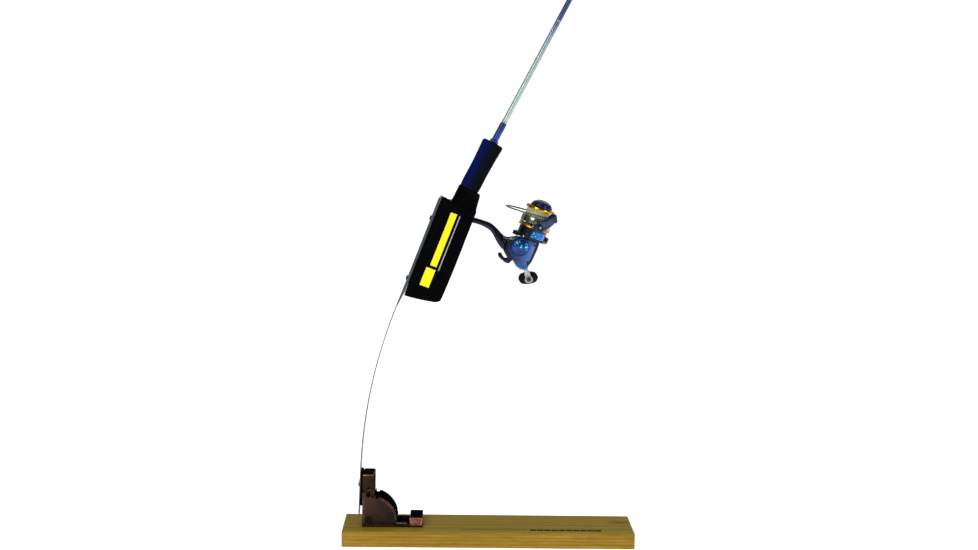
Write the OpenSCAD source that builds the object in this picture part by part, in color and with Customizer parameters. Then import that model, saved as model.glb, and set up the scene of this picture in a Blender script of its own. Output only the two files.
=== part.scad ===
// Ice fishing tip up: board, notched bracket, swing arm, spring blade, wrap holder, rod and spinning reel.
// Millimetres. +X toward the long free end of the board, +Y away from the viewer's side, +Z up.
// Origin: centre of the board's underside.

/* [Base board] */
// Board length
base_l = 344; // [250:1:500]
// Board width
base_w = 63.5; // [50:0.5:100]
// Board thickness
base_t = 19; // [12:0.5:30]
// Board edge chamfer
base_ch = 0.8; // [0.2:0.1:2]

/* [Bracket] */
// Left end of the bracket
br_x = -149.3; // [-165:0.1:-120]
// Bracket length
br_l = 71.3; // [60:0.1:90]
// Bracket width over the cheeks
br_w = 30; // [26:0.5:40]
// Foot plate thickness
plate_t = 4; // [2:0.1:6]
// Cheek thickness
cheek_t = 2.4; // [1.5:0.1:4]
// Cheek arc radius
cheek_r = 32; // [28:0.1:36]
// Height of the stop ear above the board
ear_h = 41.6; // [36:0.1:48]
// End block length
block_l = 15.4; // [8:0.1:20]
// End block height above the board
block_h = 11.3; // [6:0.1:16]
// Angle between notches
notch_step = 10; // [6:0.5:15]
// Notch width
notch_w = 4; // [3.6:0.1:5]

/* [Swing arm] */
// Pivot position along the board
piv_x = -142.1; // [-150:0.1:-130]
// Pivot height above the board
piv_h = 8.3; // [7.6:0.1:12]
// Pivot pin radius
piv_r = 2.5; // [1.5:0.1:3]
// Arm thickness along X
arm_t = 13.8; // [10:0.1:18]
// Arm depth along Y
arm_d = 24.4; // [20:0.1:24.6]
// Arm top height above the pivot
arm_h = 54.8; // [48:0.1:70]
// Lock pin radius
pin_r = 1.6; // [1:0.1:1.8]
// Lock pin height above the pivot when lifted
pin_h = 36.4; // [35.6:0.1:38]
// Lock pin travel down into a notch
pin_drop = 7.2; // [6:0.1:7.6]

/* [Spring blade] */
// Blade thickness
bl_t = 0.9; // [0.5:0.1:1.5]
// Blade width
bl_w = 19; // [12:0.5:25]
// Bend radius of the loaded blade
bl_r = 587.7; // [400:0.1:900]
// Blade lean at the arm
bl_a0 = 1.92; // [0:0.01:5]
// Blade lean at the holder
bl_a1 = 20.8; // [15:0.1:30]
// Height where the bend starts
bl_z0 = 86; // [80:0.5:95]
// Blade centre at that height
bl_x0 = -151.87; // [-155:0.01:-148]
// Height of the blade's lower tip
bl_tip = 30.6; // [24:0.1:50]

/* [Holder] */
// Sleeve height
slv_h = 121; // [90:1:160]
// Sleeve width
slv_w = 42.7; // [38:0.1:55]
// Sleeve depth
slv_d = 33; // [32:0.5:45]
// Fabric thickness
slv_t = 1.5; // [1:0.1:3]
// Backing bar thickness
bar_t = 2.2; // [1.5:0.1:4]
// Backing bar width
bar_w = 20; // [15:0.5:30]

/* [Rod] */
// Rod length
rod_l = 914; // [600:1:1100]
// Rod lean from upright
rod_a = 27.1; // [24:0.1:30]
// Blank radius at the grip
blank_r = 3.3; // [2:0.1:4]
// Tip radius
tip_r = 0.9; // [0.5:0.1:1.5]
// Grip radius
grip_r = 11.6; // [10:0.1:11.6]
// Grip top along the rod
grip_top = 180.4; // [160:0.1:200]

/* [Reel] */
// Reel lean from upright
reel_a = 19; // [15:0.5:25]
// Half thickness of the reel body
body_y = 9.5; // [9:0.1:12]
// Drive gear centre, offset from the main shaft
gear_x = -7.4; // [-8:0.1:-7]
// Rotor phase
rot_a = 9.7; // [0:0.1:20]
// Spool front lip radius
lip_r = 17.1; // [15:0.1:17.5]
// Spool skirt radius
skirt_r = 18.2; // [18:0.1:18.5]
// Crank throw
crank_l = 46.7; // [35:0.1:55]
// Handle knob length
knob_l = 19; // [14:0.5:24]

/* [Hidden] */
$fn = 64;
piv_z = base_t + piv_h;
arc_x = piv_x + 2.1;
arc_z = base_t + 6;
cheek_y = br_w / 2 - cheek_t;
plate_z = base_t + plate_t;
// end of the bend, and the straight run to the holder's origin
be_z = bl_z0 + bl_r * (sin(bl_a1) - sin(bl_a0));
be_x = bl_x0 + bl_r * (cos(bl_a0) - cos(bl_a1));
ho_z = 296.9;
ho_x = be_x + (ho_z - be_z) * tan(bl_a1);
// rod butt, placed in the holder's frame
butt_u = 22;
butt_v = 14.7;
ro_x = ho_x + butt_u * sin(bl_a1) + butt_v * cos(bl_a1);
ro_z = ho_z + butt_u * cos(bl_a1) - butt_v * sin(bl_a1);
re_x = 38.1;
re_z = 351.1;
crank_dx = 27.2 * crank_l / 46.65;
crank_dz = -37.9 * crank_l / 46.65;
crank_y = 41.5;
piv_w = 29.4;
bp_y = 22;

// ---- frames ----
module in_holder() {
  translate([ho_x, 0, ho_z])
    rotate([0, bl_a1, 0])
      children();
}
module in_rod() {
  translate([ro_x, 0, ro_z])
    rotate([0, rod_a, 0])
      children();
}
module in_reel() {
  translate([re_x, 0, re_z])
    rotate([0, reel_a, 0])
      children();
}
module in_rotor() {
  in_reel()
    rotate([0, 0, rot_a])
      children();
}
// a profile drawn in X and Z, given thickness from y0 to y1
module side(y0, y1) {
  translate([0, y1, 0])
    rotate([90, 0, 0])
      linear_extrude(y1 - y0)
        children();
}
// cylinder along Y
module ycyl(x, z, r, y0, y1) {
  translate([x, y0, z])
    rotate([-90, 0, 0])
      cylinder(r = r, h = y1 - y0);
}
// cylinder along X
module xcyl(y, z, r, x0, x1) {
  translate([x0, y, z])
    rotate([0, 90, 0])
      cylinder(r = r, h = x1 - x0);
}
// cylinder along Z
module zcyl(x, y, r, z0, z1) {
  translate([x, y, z0])
    cylinder(r = r, h = z1 - z0);
}
module box(a, b) {
  translate(a)
    cube(b - a);
}
module tube(r1, r0, z0, z1) {
  difference() {
    zcyl(0, 0, r1, z0, z1);
    zcyl(0, 0, r0, z0 - 1, z1 + 1);
  }
}
// round wire between two points
module wire(a, b, r) {
  d = b - a;
  l = norm(d);
  translate(a)
    rotate([0, acos(d[2] / l), atan2(d[1], d[0])])
      cylinder(r = r, h = l, $fn = 24);
}
module rrect(x0, x1, y1, r) {
  translate([x0 + r, -y1])
    square([x1 - x0 - 2 * r, 2 * y1]);
  translate([x0, r - y1])
    square([x1 - x0, 2 * y1 - 2 * r]);
  for (x = [x0 + r, x1 - r])
    for (y = [r - y1, y1 - r])
      translate([x, y])
        circle(r);
}
// flat link between two round ends
module link(a, ra, b, rb) {
  d = b - a;
  l = norm(d);
  t = acos((ra - rb) / l);
  g = atan2(d[1], d[0]);
  translate(a)
    circle(ra);
  translate(b)
    circle(rb);
  polygon([
    a + ra * [cos(g + t), sin(g + t)],
    b + rb * [cos(g + t), sin(g + t)],
    b + rb * [cos(g - t), sin(g - t)],
    a + ra * [cos(g - t), sin(g - t)]]);
}

// ---- base ----
screw_at = [[-100, 8], [-100, -8], [-118, 7], [-118, -7]];
module base_board() {
  c = base_ch;
  l = base_l / 2;
  w = base_w / 2;
  t = base_t;
  color([0.62, 0.47, 0.2])
    difference() {
      intersection() {
        side(-w, w)
          polygon([[-l + c, 0], [l - c, 0], [l, c], [l, t - c], [l - c, t], [c - l, t], [-l, t - c], [-l, c]]);
        translate([-l, 0, 0])
          rotate([90, 0, 90])
            linear_extrude(2 * l)
              polygon([[-w + c, 0], [w - c, 0], [w, c], [w, t - c], [w - c, t], [c - w, t], [-w, t - c], [-w, c]]);
        linear_extrude(t)
          polygon([[-l + c, -w], [l - c, -w], [l, c - w], [l, w - c], [l - c, w], [c - l, w], [-l, w - c], [-l, c - w]]);
      }
      for (p = screw_at)
        zcyl(p[0], p[1], 2, 7, t + 1);
    }
}
module cheek_2d() {
  difference() {
    union() {
      intersection() {
        translate([arc_x, arc_z])
          circle(cheek_r, $fn = 96);
        translate([br_x, arc_z])
          square([80, 60]);
      }
      translate([br_x, base_t])
        square([arc_x + cheek_r - 1.4 - br_x, arc_z - base_t]);
      translate([br_x, base_t])
        square([4.1, ear_h]);
    }
    for (k = [0:2])
      translate([piv_x, piv_z])
        rotate(-k * notch_step)
          translate([0, pin_h - pin_drop])
            union() {
              circle(notch_w / 2);
              translate([-notch_w / 2, 0])
                square([notch_w, 12]);
            }
    // transport notch at the low end of the arc
    translate([arc_x + cheek_r - 1.6, arc_z + 5.2])
      union() {
        circle(1.8);
        translate([0, -1.8])
          square([4, 3.6]);
      }
  }
}
module bracket() {
  color([0.42, 0.27, 0.2])
    difference() {
      union() {
        box([br_x, -br_w / 2, base_t], [br_x + br_l, br_w / 2, plate_z]);
        side(-br_w / 2, -cheek_y)
          cheek_2d();
        side(cheek_y, br_w / 2)
          cheek_2d();
      }
      box([br_x - 1, -cheek_y, base_t - 1], [piv_x + 13, cheek_y, plate_z + 1]);
      ycyl(piv_x, piv_z, piv_r + 0.05, -br_w, br_w);
      for (p = screw_at)
        zcyl(p[0], p[1], 2.1, base_t - 1, plate_z + 1);
    }
}
module end_block() {
  x1 = br_x + br_l;
  color([0.6, 0.42, 0.32])
    side(-br_w / 2, br_w / 2)
      polygon([[x1 - block_l, plate_z], [x1, plate_z], [x1, base_t + block_h - 0.8],
        [x1 - 0.8, base_t + block_h], [x1 - block_l + 1.4, base_t + block_h],
        [x1 - block_l, base_t + block_h - 1.4]]);
}
module bracket_screws() {
  color([0.2, 0.16, 0.14])
    for (p = screw_at)
      difference() {
        union() {
          zcyl(p[0], p[1], 1.9, base_t - 11, plate_z + 0.5);
          translate([p[0], p[1], plate_z])
            cylinder(r1 = 3.6, r2 = 2.4, h = 1.9);
        }
        for (a = [0, 90])
          translate([p[0], p[1], plate_z + 1.6])
            rotate(a)
              cube([3.4, 0.7, 1.6], center = true);
      }
}
module pivot_pin() {
  color([0.22, 0.18, 0.16])
    union() {
      ycyl(piv_x, piv_z, piv_r, -br_w / 2 - 1, br_w / 2 + 1);
      ycyl(piv_x, piv_z, 3.6, -br_w / 2 - 1.5, -br_w / 2);
      ycyl(piv_x, piv_z, 3.6, br_w / 2, br_w / 2 + 1.5);
    }
}

// ---- swing arm ----
slot_w = 2 * pin_r + 0.3;
module swing_arm() {
  x0 = piv_x - arm_t / 2;
  x1 = piv_x + arm_t / 2;
  color([0.28, 0.19, 0.13])
    difference() {
      side(-arm_d / 2, arm_d / 2)
        union() {
          translate([piv_x, piv_z])
            circle(arm_t / 2);
          polygon([[x0, piv_z], [x1, piv_z], [x1, piv_z + arm_h - 1], [x1 - 1, piv_z + arm_h],
            [x0 + 1, piv_z + arm_h], [x0, piv_z + arm_h - 1]]);
        }
      ycyl(piv_x, piv_z, piv_r + 0.05, -20, 20);
      // slot for the lock pin
      side(-20, 20)
        union() {
          translate([piv_x, piv_z + pin_h - pin_drop - 0.4])
            circle(slot_w / 2);
          translate([piv_x, piv_z + pin_h + 0.4])
            circle(slot_w / 2);
          translate([piv_x - slot_w / 2, piv_z + pin_h - pin_drop - 0.4])
            square([slot_w, pin_drop + 0.8]);
        }
      // spring pocket above the slot
      zcyl(piv_x, 0, 3.4, piv_z + pin_h - pin_drop - 1, piv_z + arm_h - 3);
      for (y = [-6, 6])
        xcyl(y, 68, 1.6, x0 - 1, x0 + 9);
    }
}
module blade_pad() {
  x0 = piv_x - arm_t / 2;
  color([0.1, 0.1, 0.1])
    difference() {
      side(-bl_w / 2, bl_w / 2)
        polygon([
          [x0, 43], [x0, bl_z0 - 2],
          [bl_x0 - 2 * tan(bl_a0) + bl_t / 2, bl_z0 - 2],
          [bl_x0 - (bl_z0 - 43) * tan(bl_a0) + bl_t / 2, 43]]);
      for (y = [-6, 6])
        xcyl(y, 68, 1.6, x0 - 9, x0 + 1);
    }
}
module blade_screws() {
  xb = bl_x0 - (bl_z0 - 68) * tan(bl_a0) - bl_t / 2 - 0.1;
  color([0.16, 0.15, 0.14])
    for (y = [-6, 6])
      union() {
        xcyl(y, 68, 1.5, xb - 1, piv_x - arm_t / 2 + 8);
        translate([xb, y, 68])
          rotate([0, -90, 0])
            cylinder(r1 = 2.9, r2 = 1.9, h = 1.5);
      }
}
module lock_pin() {
  color([0.5, 0.47, 0.42])
    union() {
      ycyl(piv_x, piv_z + pin_h, pin_r, -br_w / 2 - 1.6, br_w / 2 + 1.6);
      zcyl(piv_x, 0, 2.9, piv_z + pin_h + pin_r - 0.6, piv_z + pin_h + pin_r + 1);
    }
}
module lock_spring() {
  z0 = piv_z + pin_h + pin_r + 1.1;
  z1 = piv_z + arm_h - 3.1;
  n = 6;
  color([0.7, 0.7, 0.7])
    for (k = [0:n - 1])
      translate([piv_x, 0, z0 + 0.4 + k * (z1 - z0 - 0.8) / (n - 1)])
        rotate_extrude($fn = 40)
          translate([2.5, 0])
            circle(0.4, $fn = 16);
}

// ---- blade ----
function bend(a) = [bl_x0 + bl_r * (cos(bl_a0) - cos(a)), bl_z0 + bl_r * (sin(a) - sin(bl_a0))];
function edge(p, a, s) = [p[0] + s * cos(a), p[1] - s * sin(a)];
module spring_blade() {
  h = bl_t / 2;
  dz = bl_z0 - bl_tip;
  lo = [bl_x0 - dz * tan(bl_a0), bl_tip];
  hi = [ho_x + 119 * sin(bl_a1), ho_z + 119 * cos(bl_a1)];
  n = 16;
  as = [for (k = [0:n]) bl_a0 + (bl_a1 - bl_a0) * k / n];
  color([0.55, 0.56, 0.55])
    difference() {
      side(-bl_w / 2, bl_w / 2)
        polygon(concat(
          [edge(lo, bl_a0, -h)],
          [for (a = as) edge(bend(a), a, -h)],
          [edge(hi, bl_a1, -h), edge(hi, bl_a1, h)],
          [for (k = [n:-1:0]) edge(bend(as[k]), as[k], h)],
          [edge(lo, bl_a0, h)]));
      for (y = [-6, 6])
        xcyl(y, 68, 1.6, -160, -145);
      for (u = [19, 94])
        in_holder()
          xcyl(0, u, 1.6, -5, 5);
    }
}

// ---- holder ----
bar_x0 = bl_t / 2 + 0.05;
bar_x1 = bar_x0 + bar_t;
slv_x0 = bar_x1 + 0.1;
slv_x1 = slv_x0 + slv_w;
module backing_bar() {
  color([0.28, 0.34, 0.38])
    in_holder()
      difference() {
        side(-bar_w / 2, bar_w / 2)
          polygon([[bar_x0, -14], [bar_x0 + 0.4, -14], [bar_x1, 3], [bar_x1, 122], [bar_x0, 122]]);
        for (u = [19, 94])
          xcyl(0, u, 1.6, -5, 9);
      }
}
module holder_rivets() {
  color([0.25, 0.27, 0.28])
    in_holder()
      for (u = [19, 94])
        union() {
          xcyl(0, u, 1.5, -bl_t / 2 - 1, slv_x0 + slv_t + 0.4);
          translate([-bl_t / 2 - 0.1, 0, u])
            rotate([0, -90, 0])
              cylinder(r1 = 3.3, r2 = 2, h = 1.5);
        }
}
module rivet_washers() {
  color([0.6, 0.6, 0.6])
    in_holder()
      for (u = [94])
        difference() {
          xcyl(0, u, 3.6, slv_x0 + slv_t + 0.1, slv_x0 + slv_t + 0.7);
          xcyl(0, u, 1.55, slv_x0, slv_x0 + slv_t + 3);
        }
}
module sleeve() {
  y1 = slv_d / 2;
  color([0.05, 0.05, 0.06])
    in_holder()
      difference() {
        linear_extrude(slv_h)
          rrect(slv_x0, slv_x1, y1, 7);
        translate([0, 0, 2])
          linear_extrude(slv_h)
            rrect(slv_x0 + slv_t, slv_x1 - slv_t, y1 - slv_t, 5.5);
        // slit for the reel stem
        box([slv_x1 - 6, -5.2, 98], [slv_x1 + 2, 5.2, slv_h + 2]);
        for (u = [19, 94])
          xcyl(0, u, 1.6, -5, 9);
      }
}
module neck_band() {
  color([0.05, 0.05, 0.06])
    in_rod()
      translate([0, 0, 100.2])
        linear_extrude(19.4)
          difference() {
            union() {
              circle(13.1);
              translate([4.6, 0])
                circle(12);
            }
            circle(11.85);
            translate([4.6, 0])
              circle(10.6);
          }
}
module closure_flap() {
  y1 = slv_d / 2 + 0.1;
  color([0.07, 0.07, 0.08])
    in_holder()
      box([slv_x0 + 8, y1, 12], [slv_x1 - 8, y1 + 1.4, 112]);
}

// ---- rod ----
g_at = [415, 560, 690, 805];
g_r = [9, 6.5, 5, 4];
function rod_r(s) = s < 361
  ? blank_r - 0.4 * s / 361
  : blank_r - 0.4 - (blank_r - 0.4 - tip_r) * (s - 361) / (rod_l - 361);
module rod_blank() {
  color([0.6, 0.64, 0.72])
    in_rod()
      union() {
        translate([0, 0, 2])
          cylinder(r1 = rod_r(2), r2 = rod_r(361), h = 359);
        translate([0, 0, 361])
          cylinder(r1 = rod_r(361), r2 = tip_r, h = rod_l - 361);
      }
}
module butt_cap() {
  color([0.08, 0.08, 0.09])
    in_rod()
      difference() {
        union() {
          zcyl(0, 0, 10.1, 1.2, 7);
          cylinder(r1 = 8.9, r2 = 10.1, h = 1.21);
        }
        zcyl(0, 0, blank_r + 0.1, 1.5, 8);
      }
}
module handle_grip() {
  color([0.05, 0.09, 0.3])
    in_rod()
      difference() {
        union() {
          zcyl(0, 0, 9.9, 7.1, 46);
          translate([0, 0, 46])
            cylinder(r1 = 9.9, r2 = grip_r, h = 6);
          zcyl(0, 0, grip_r, 52, grip_top - 2);
          translate([0, 0, grip_top - 2])
            cylinder(r1 = grip_r, r2 = grip_r - 2, h = 2);
        }
        zcyl(0, 0, blank_r + 0.1, 0, grip_top + 1);
      }
}
module slide_rings() {
  color([0.7, 0.7, 0.72])
    in_rod()
      for (s = [60, 93.6])
        translate([1.1, 0, s])
          tube(14, 12.95, 0, 6);
}
module winding_check() {
  color([0.15, 0.15, 0.18])
    in_rod()
      tube(5.2, blank_r + 0.1, grip_top + 0.2, grip_top + 2.4);
}
// one line guide: foot on the blank, two legs and a ring
module guide(s, r) {
  b = rod_r(s - 10);
  x = b + 2.2 + r + r * 0.8;
  color([0.3, 0.31, 0.33])
    in_rod()
      union() {
        box([b + 0.1, -0.9, s - 11], [b + 1.1, 0.9, s + 11]);
        wire([b + 0.8, 0, s - 9], [x - r, 0, s - 0.3], 0.6);
        wire([b + 0.8, 0, s + 9], [x - r, 0, s + 0.3], 0.6);
        translate([x, 0, s - 0.9])
          tube(r, r - 1.2, 0, 1.8);
      }
}
module guide_1() {
  guide(g_at[0], g_r[0]);
}
module guide_2() {
  guide(g_at[1], g_r[1]);
}
module guide_3() {
  guide(g_at[2], g_r[2]);
}
module guide_4() {
  guide(g_at[3], g_r[3]);
}
module tip_top() {
  s = rod_l;
  color([0.3, 0.31, 0.33])
    in_rod()
      union() {
        difference() {
          zcyl(0, 0, tip_r + 0.9, s - 12, s + 1.5);
          zcyl(0, 0, tip_r + 0.3, s - 13, s + 0.4);
        }
        wire([0.4, 0, s + 0.9], [3, 0, s + 2.2], 0.6);
        translate([5.6, 0, s + 1.6])
          tube(3, 2, 0, 1.4);
      }
}
module guide_wraps() {
  color([0.05, 0.1, 0.35])
    in_rod()
      for (k = [0:3])
        for (e = [-1, 1]) {
          s = g_at[k] + e * 11.4;
          b = rod_r(g_at[k] - 30);
          translate([0, 0, s - 2.8 + e * 3.1])
            tube(b + 0.55, b + 0.05, 0, 5.6);
        }
}

// ---- reel body ----
module body_2d() {
  polygon([[-27, 4], [-22, 6.6], [-16, 9.4], [-8, 10.6], [10.4, 10.6], [10.6, 4], [8.8, -12],
    [8.2, -19.2], [-9, -19.2], [-12.5, -17.6], [-18, -16.6], [-22, -13.6], [-27, -9.5]]);
}
module stem_2d() {
  polygon([[-77.6, 12.3], [-70, 13], [-62, 13.8], [-56, 13.9], [-50.5, 13.9], [-45.5, 12.9], [-38, 9.8], [-32, 6.4],
    [-26, 4.2], [-20, 4], [-20, -13], [-27, -9.6], [-31.5, -7.4], [-36, -3.6], [-40.5, 0.6], [-44.5, 4],
    [-48.5, 6.2], [-53, 6.9], [-62, 7.2], [-77.6, 5.2]]);
}
lev_x = -15.4;
lev_z = -20.6;
module reel_frame() {
  color([0.06, 0.08, 0.16])
    difference() {
      union() {
        in_reel()
          side(-body_y, body_y)
            body_2d();
        in_reel()
          side(-3.6, 3.6)
            stem_2d();
        in_reel()
          ycyl(gear_x, 0, 6.3, body_y - 1, 30);
        // ears for the lever
        for (y = [-5.4, 3.4])
          in_reel()
            side(y, y + 2)
              link([lev_x, lev_z], 2.4, [-13, -14], 3);
        // foot, curved to sit on the grip
        in_rod()
          translate([0, 0, 60])
            linear_extrude(52)
              intersection() {
                difference() {
                  circle(grip_r + 1.3);
                  circle(grip_r + 0.06);
                }
                polygon([[0, 0], [30, -16], [30, 16]]);
              }
        in_rod()
          box([grip_r + 0.7, -4.2, 74], [grip_r + 2.9, 4.2, 92.6]);
      }
      in_reel() {
        // gear pocket, open on the near side
        ycyl(gear_x, 0, 9.8, -20, 6.8);
        box([-4.6, -20, -13], [4.6, 3.1, 3.2]);
        ycyl(gear_x, 0, 2.56, 0, 40);
        ycyl(gear_x, 0, 4.5, 26, 40);
        zcyl(0, 0, 1.56, -17.5, 20);
        zcyl(0, 0, 3.3, 0, 20);
        zcyl(0, 0, 5.6, 7, 20);
        ycyl(lev_x, lev_z, 0.95, -20, 20);
        ycyl(lev_x, lev_z, 3.2, -3.3, 3.3);
        for (p = cov_at)
          ycyl(p[0], p[1], 0.85, -20, -body_y + 4);
      }
    }
}
cov_at = [[7, 7.4], [6.4, -14], [-14.8, -9.4]];
module main_bearing() {
  color([0.75, 0.75, 0.78])
    in_reel()
      tube(5.55, 3.06, 7.6, 10.4);
}
module handle_bearing() {
  color([0.75, 0.75, 0.78])
    in_reel()
      difference() {
        ycyl(gear_x, 0, 4.45, 26.1, 29.6);
        ycyl(gear_x, 0, 2.56, 20, 40);
      }
}
module side_cover() {
  color([0.45, 0.5, 0.75])
    in_reel()
      difference() {
        side(-12, -body_y - 0.1)
          polygon(concat(
            [for (a = [100:8:196]) [gear_x + 10.8 * cos(a), 10.8 * sin(a)]],
            [[-21.6, -8], [-15, -12.2], [-2, -16.6], [7.8, -16.6], [9, 2], [8.8, 10]]));
        ycyl(gear_x, 0, 2.56, -20, 0);
        for (p = cov_at)
          ycyl(p[0], p[1], 0.9, -20, 0);
      }
}
module side_cap() {
  color([0.05, 0.2, 0.6])
    in_reel()
      intersection() {
        translate([gear_x, -12.1, 0])
          rotate([90, 0, 0])
            translate([0, 0, -14.2])
              sphere(17.1, $fn = 96);
        ycyl(gear_x, 0, 12, -20, -12.1);
      }
}
module cover_screws() {
  color([0.7, 0.7, 0.7])
    in_reel()
      for (p = cov_at)
        union() {
          ycyl(p[0], p[1], 0.8, -12.2, -body_y + 3.8);
          ycyl(p[0], p[1], 1.4, -12.7, -12.1);
        }
}
module rear_cap() {
  color([0.05, 0.25, 0.6])
    in_reel()
      difference() {
        translate([0, 0, -15.5])
          sphere(9.2, $fn = 96);
        box([-20, -20, -19.3], [20, 20, 20]);
      }
}
module ar_lever() {
  color([0.04, 0.04, 0.05])
    in_reel()
      union() {
        side(-3, 3)
          union() {
            link([lev_x, lev_z], 2.6, [-24.6, -18.4], 2);
            link([-24.6, -18.4], 2, [-27.4, -14.6], 1.5);
          }
        ycyl(lev_x, lev_z, 0.9, -5.3, 5.3);
      }
}

// ---- handle ----
ckx = gear_x + crank_dx;
ckz = crank_dz;
module handle_shaft() {
  color([0.75, 0.76, 0.78])
    in_reel()
      union() {
        ycyl(gear_x, 0, 2.5, -11.9, crank_y + 3.6);
        ycyl(gear_x, 0, 4, 30.4, crank_y - 0.1);
      }
}
module drive_gear() {
  color([0.75, 0.62, 0.3])
    in_reel()
      difference() {
        union() {
          ycyl(gear_x, 0, 8.2, 3.9, 6.4);
          ycyl(gear_x, 0, 4.2, -2, 6.4);
        }
        ycyl(gear_x, 0, 2.55, -9, 9);
      }
}
module crank_arm() {
  color([0.75, 0.76, 0.78])
    in_reel()
      difference() {
        union() {
          side(crank_y, crank_y + 3.5)
            union() {
              translate([gear_x, 0])
                circle(5);
              translate([gear_x, 0])
                rotate(atan2(ckz, ckx - gear_x))
                  polygon([[1, -3.8], [crank_l - 1, -2.6], [crank_l - 1, 2.6], [1, 3.8]]);
            }
          ycyl(ckx, ckz, 5, crank_y - 0.3, crank_y + 3.8);
        }
        ycyl(gear_x, 0, 2.55, 30, 60);
        ycyl(ckx, ckz, 1.85, 30, 60);
      }
}
module crank_cap() {
  color([0.1, 0.1, 0.12])
    in_reel()
      union() {
        ycyl(gear_x, 0, 4.2, crank_y + 3.7, crank_y + 5.2);
        ycyl(gear_x, 0, 3.2, crank_y + 5, crank_y + 6);
      }
}
module knob_post() {
  color([0.72, 0.73, 0.75])
    in_reel()
      union() {
        ycyl(ckx, ckz, 1.8, crank_y - 0.6, crank_y + 4.6 + knob_l);
        ycyl(ckx, ckz, 3, crank_y - 1.3, crank_y - 0.4);
        ycyl(ckx, ckz, 2.6, crank_y + 4.6 + knob_l, crank_y + 5.6 + knob_l);
      }
}
module crank_knob() {
  color([0.04, 0.04, 0.05])
    in_reel()
      difference() {
        translate([ckx, 0, ckz])
          rotate([0, -reel_a, 0])
            union() {
              side(crank_y + 9, crank_y + 4.3 + knob_l)
                union() {
                  translate([-4.7, 0])
                    circle(6.7);
                  translate([4.7, 0])
                    circle(6.7);
                  translate([-4.7, -6.7])
                    square([9.4, 13.4]);
                }
              ycyl(0, 0, 4.4, crank_y + 4.2, crank_y + 9.5);
            }
        ycyl(ckx, ckz, 1.86, 30, 90);
      }
}

// ---- rotor ----
module rotor() {
  color([0.05, 0.06, 0.1])
    in_rotor()
      difference() {
        union() {
          zcyl(0, 0, 20.3, 12, 15.4);
          zcyl(0, 0, 6, 11.2, 16);
          tube(16.4, 13.6, 15, 27.5);
          for (e = [-1, 1])
            side(e > 0 ? 19.7 : -23.6, e > 0 ? 23.6 : -19.7)
              union() {
                translate([0, piv_w])
                  circle(6.4);
                polygon([[-7.4, 12], [7.4, 12], [6.4, piv_w], [-6.4, piv_w]]);
              }
          for (e = [-1, 1])
            box([-7, e > 0 ? 15 : -21, 12], [7, e > 0 ? 21 : -15, 15.4]);
        }
        zcyl(0, 0, 3.05, 0, 30);
        for (e = [-1, 1])
          ycyl(0, piv_w, 1.55, e > 0 ? 15 : -30, e > 0 ? 30 : -15);
      }
}
module rotor_ring() {
  color([0.05, 0.3, 0.85])
    in_rotor()
      for (e = [-1, 1])
        intersection() {
          tube(18.9, 16.45, 15.5, 21.3);
          box([-9.6, e > 0 ? 1 : -30, 15], [9.6, e > 0 ? 30 : -1, 22]);
        }
}
module rotor_nut() {
  color([0.7, 0.7, 0.72])
    in_rotor()
      difference() {
        translate([0, 0, 16.1])
          cylinder(r = 5.4, h = 3, $fn = 6);
        zcyl(0, 0, 3.05, 10, 30);
      }
}
module pinion() {
  color([0.75, 0.62, 0.3])
    in_rotor()
      tube(3, 1.56, 3.6, 20.4);
}
module bail_pivots() {
  color([0.05, 0.1, 0.3])
    in_rotor()
      for (e = [-1, 1])
        union() {
          ycyl(0, piv_w, 1.5, e > 0 ? 19.8 : -26.6, e > 0 ? 26.6 : -19.8);
          ycyl(0, piv_w, 3.6, e > 0 ? 26.3 : -27.2, e > 0 ? 27.2 : -26.3);
        }
}
rol_x = 12;
rol_y = -21;
rol_w = 42;
module bail_arm() {
  color([0.4, 0.45, 0.6])
    in_rotor()
      difference() {
        union() {
          side(-26.1, -23.8)
            union() {
              link([0, piv_w], 6.1, [16.6, rol_w], 3.4);
            }
          box([15, -26.1, rol_w - 3], [18, rol_y + 2.6, rol_w + 3]);
          xcyl(rol_y, rol_w, 1, 8.2, 16);
          xcyl(rol_y, rol_w, 2.4, 7.2, 8.9);
        }
        ycyl(0, piv_w, 1.56, -40, 0);
      }
}
module line_roller() {
  color([0.85, 0.65, 0.25])
    in_rotor()
      difference() {
        union() {
          xcyl(rol_y, rol_w, 2.8, 9.3, 10.6);
          xcyl(rol_y, rol_w, 2.2, 10.5, 13.3);
          xcyl(rol_y, rol_w, 2.8, 13.2, 14.6);
        }
        xcyl(rol_y, rol_w, 1.06, 0, 20);
      }
}
// the bail: two straight strands and a half ring, in a plane leaning a little
bail_r = 21;
bail_s = 25.6;
bail_a = -4;
module bail_wire() {
  color([0.8, 0.78, 0.7])
    in_rotor()
      translate([7.1, 0, rol_w])
        rotate([0, bail_a, 0])
          union() {
            xcyl(-bail_r, 0, 0.85, -bail_s, 0);
            xcyl(bail_r, 0, 0.85, -bail_s, -7.2);
            translate([-bail_s, 0, 0])
              rotate([0, 0, 90])
                rotate_extrude(angle = 180)
                  translate([bail_r, 0])
                    circle(0.85);
          }
}
module bail_holder() {
  color([0.1, 0.12, 0.2])
    in_rotor()
      difference() {
        union() {
          side(23.8, 26.1)
            union() {
              translate([0, piv_w])
                circle(5.6);
              polygon([[-4.8, piv_w], [4.8, piv_w], [4.4, rol_w + 2], [-1.2, rol_w + 2.4]]);
            }
          box([0, 19.2, rol_w - 1.6], [4, 24.2, rol_w + 2]);
        }
        ycyl(0, piv_w, 1.56, 0, 40);
      }
}

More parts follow.
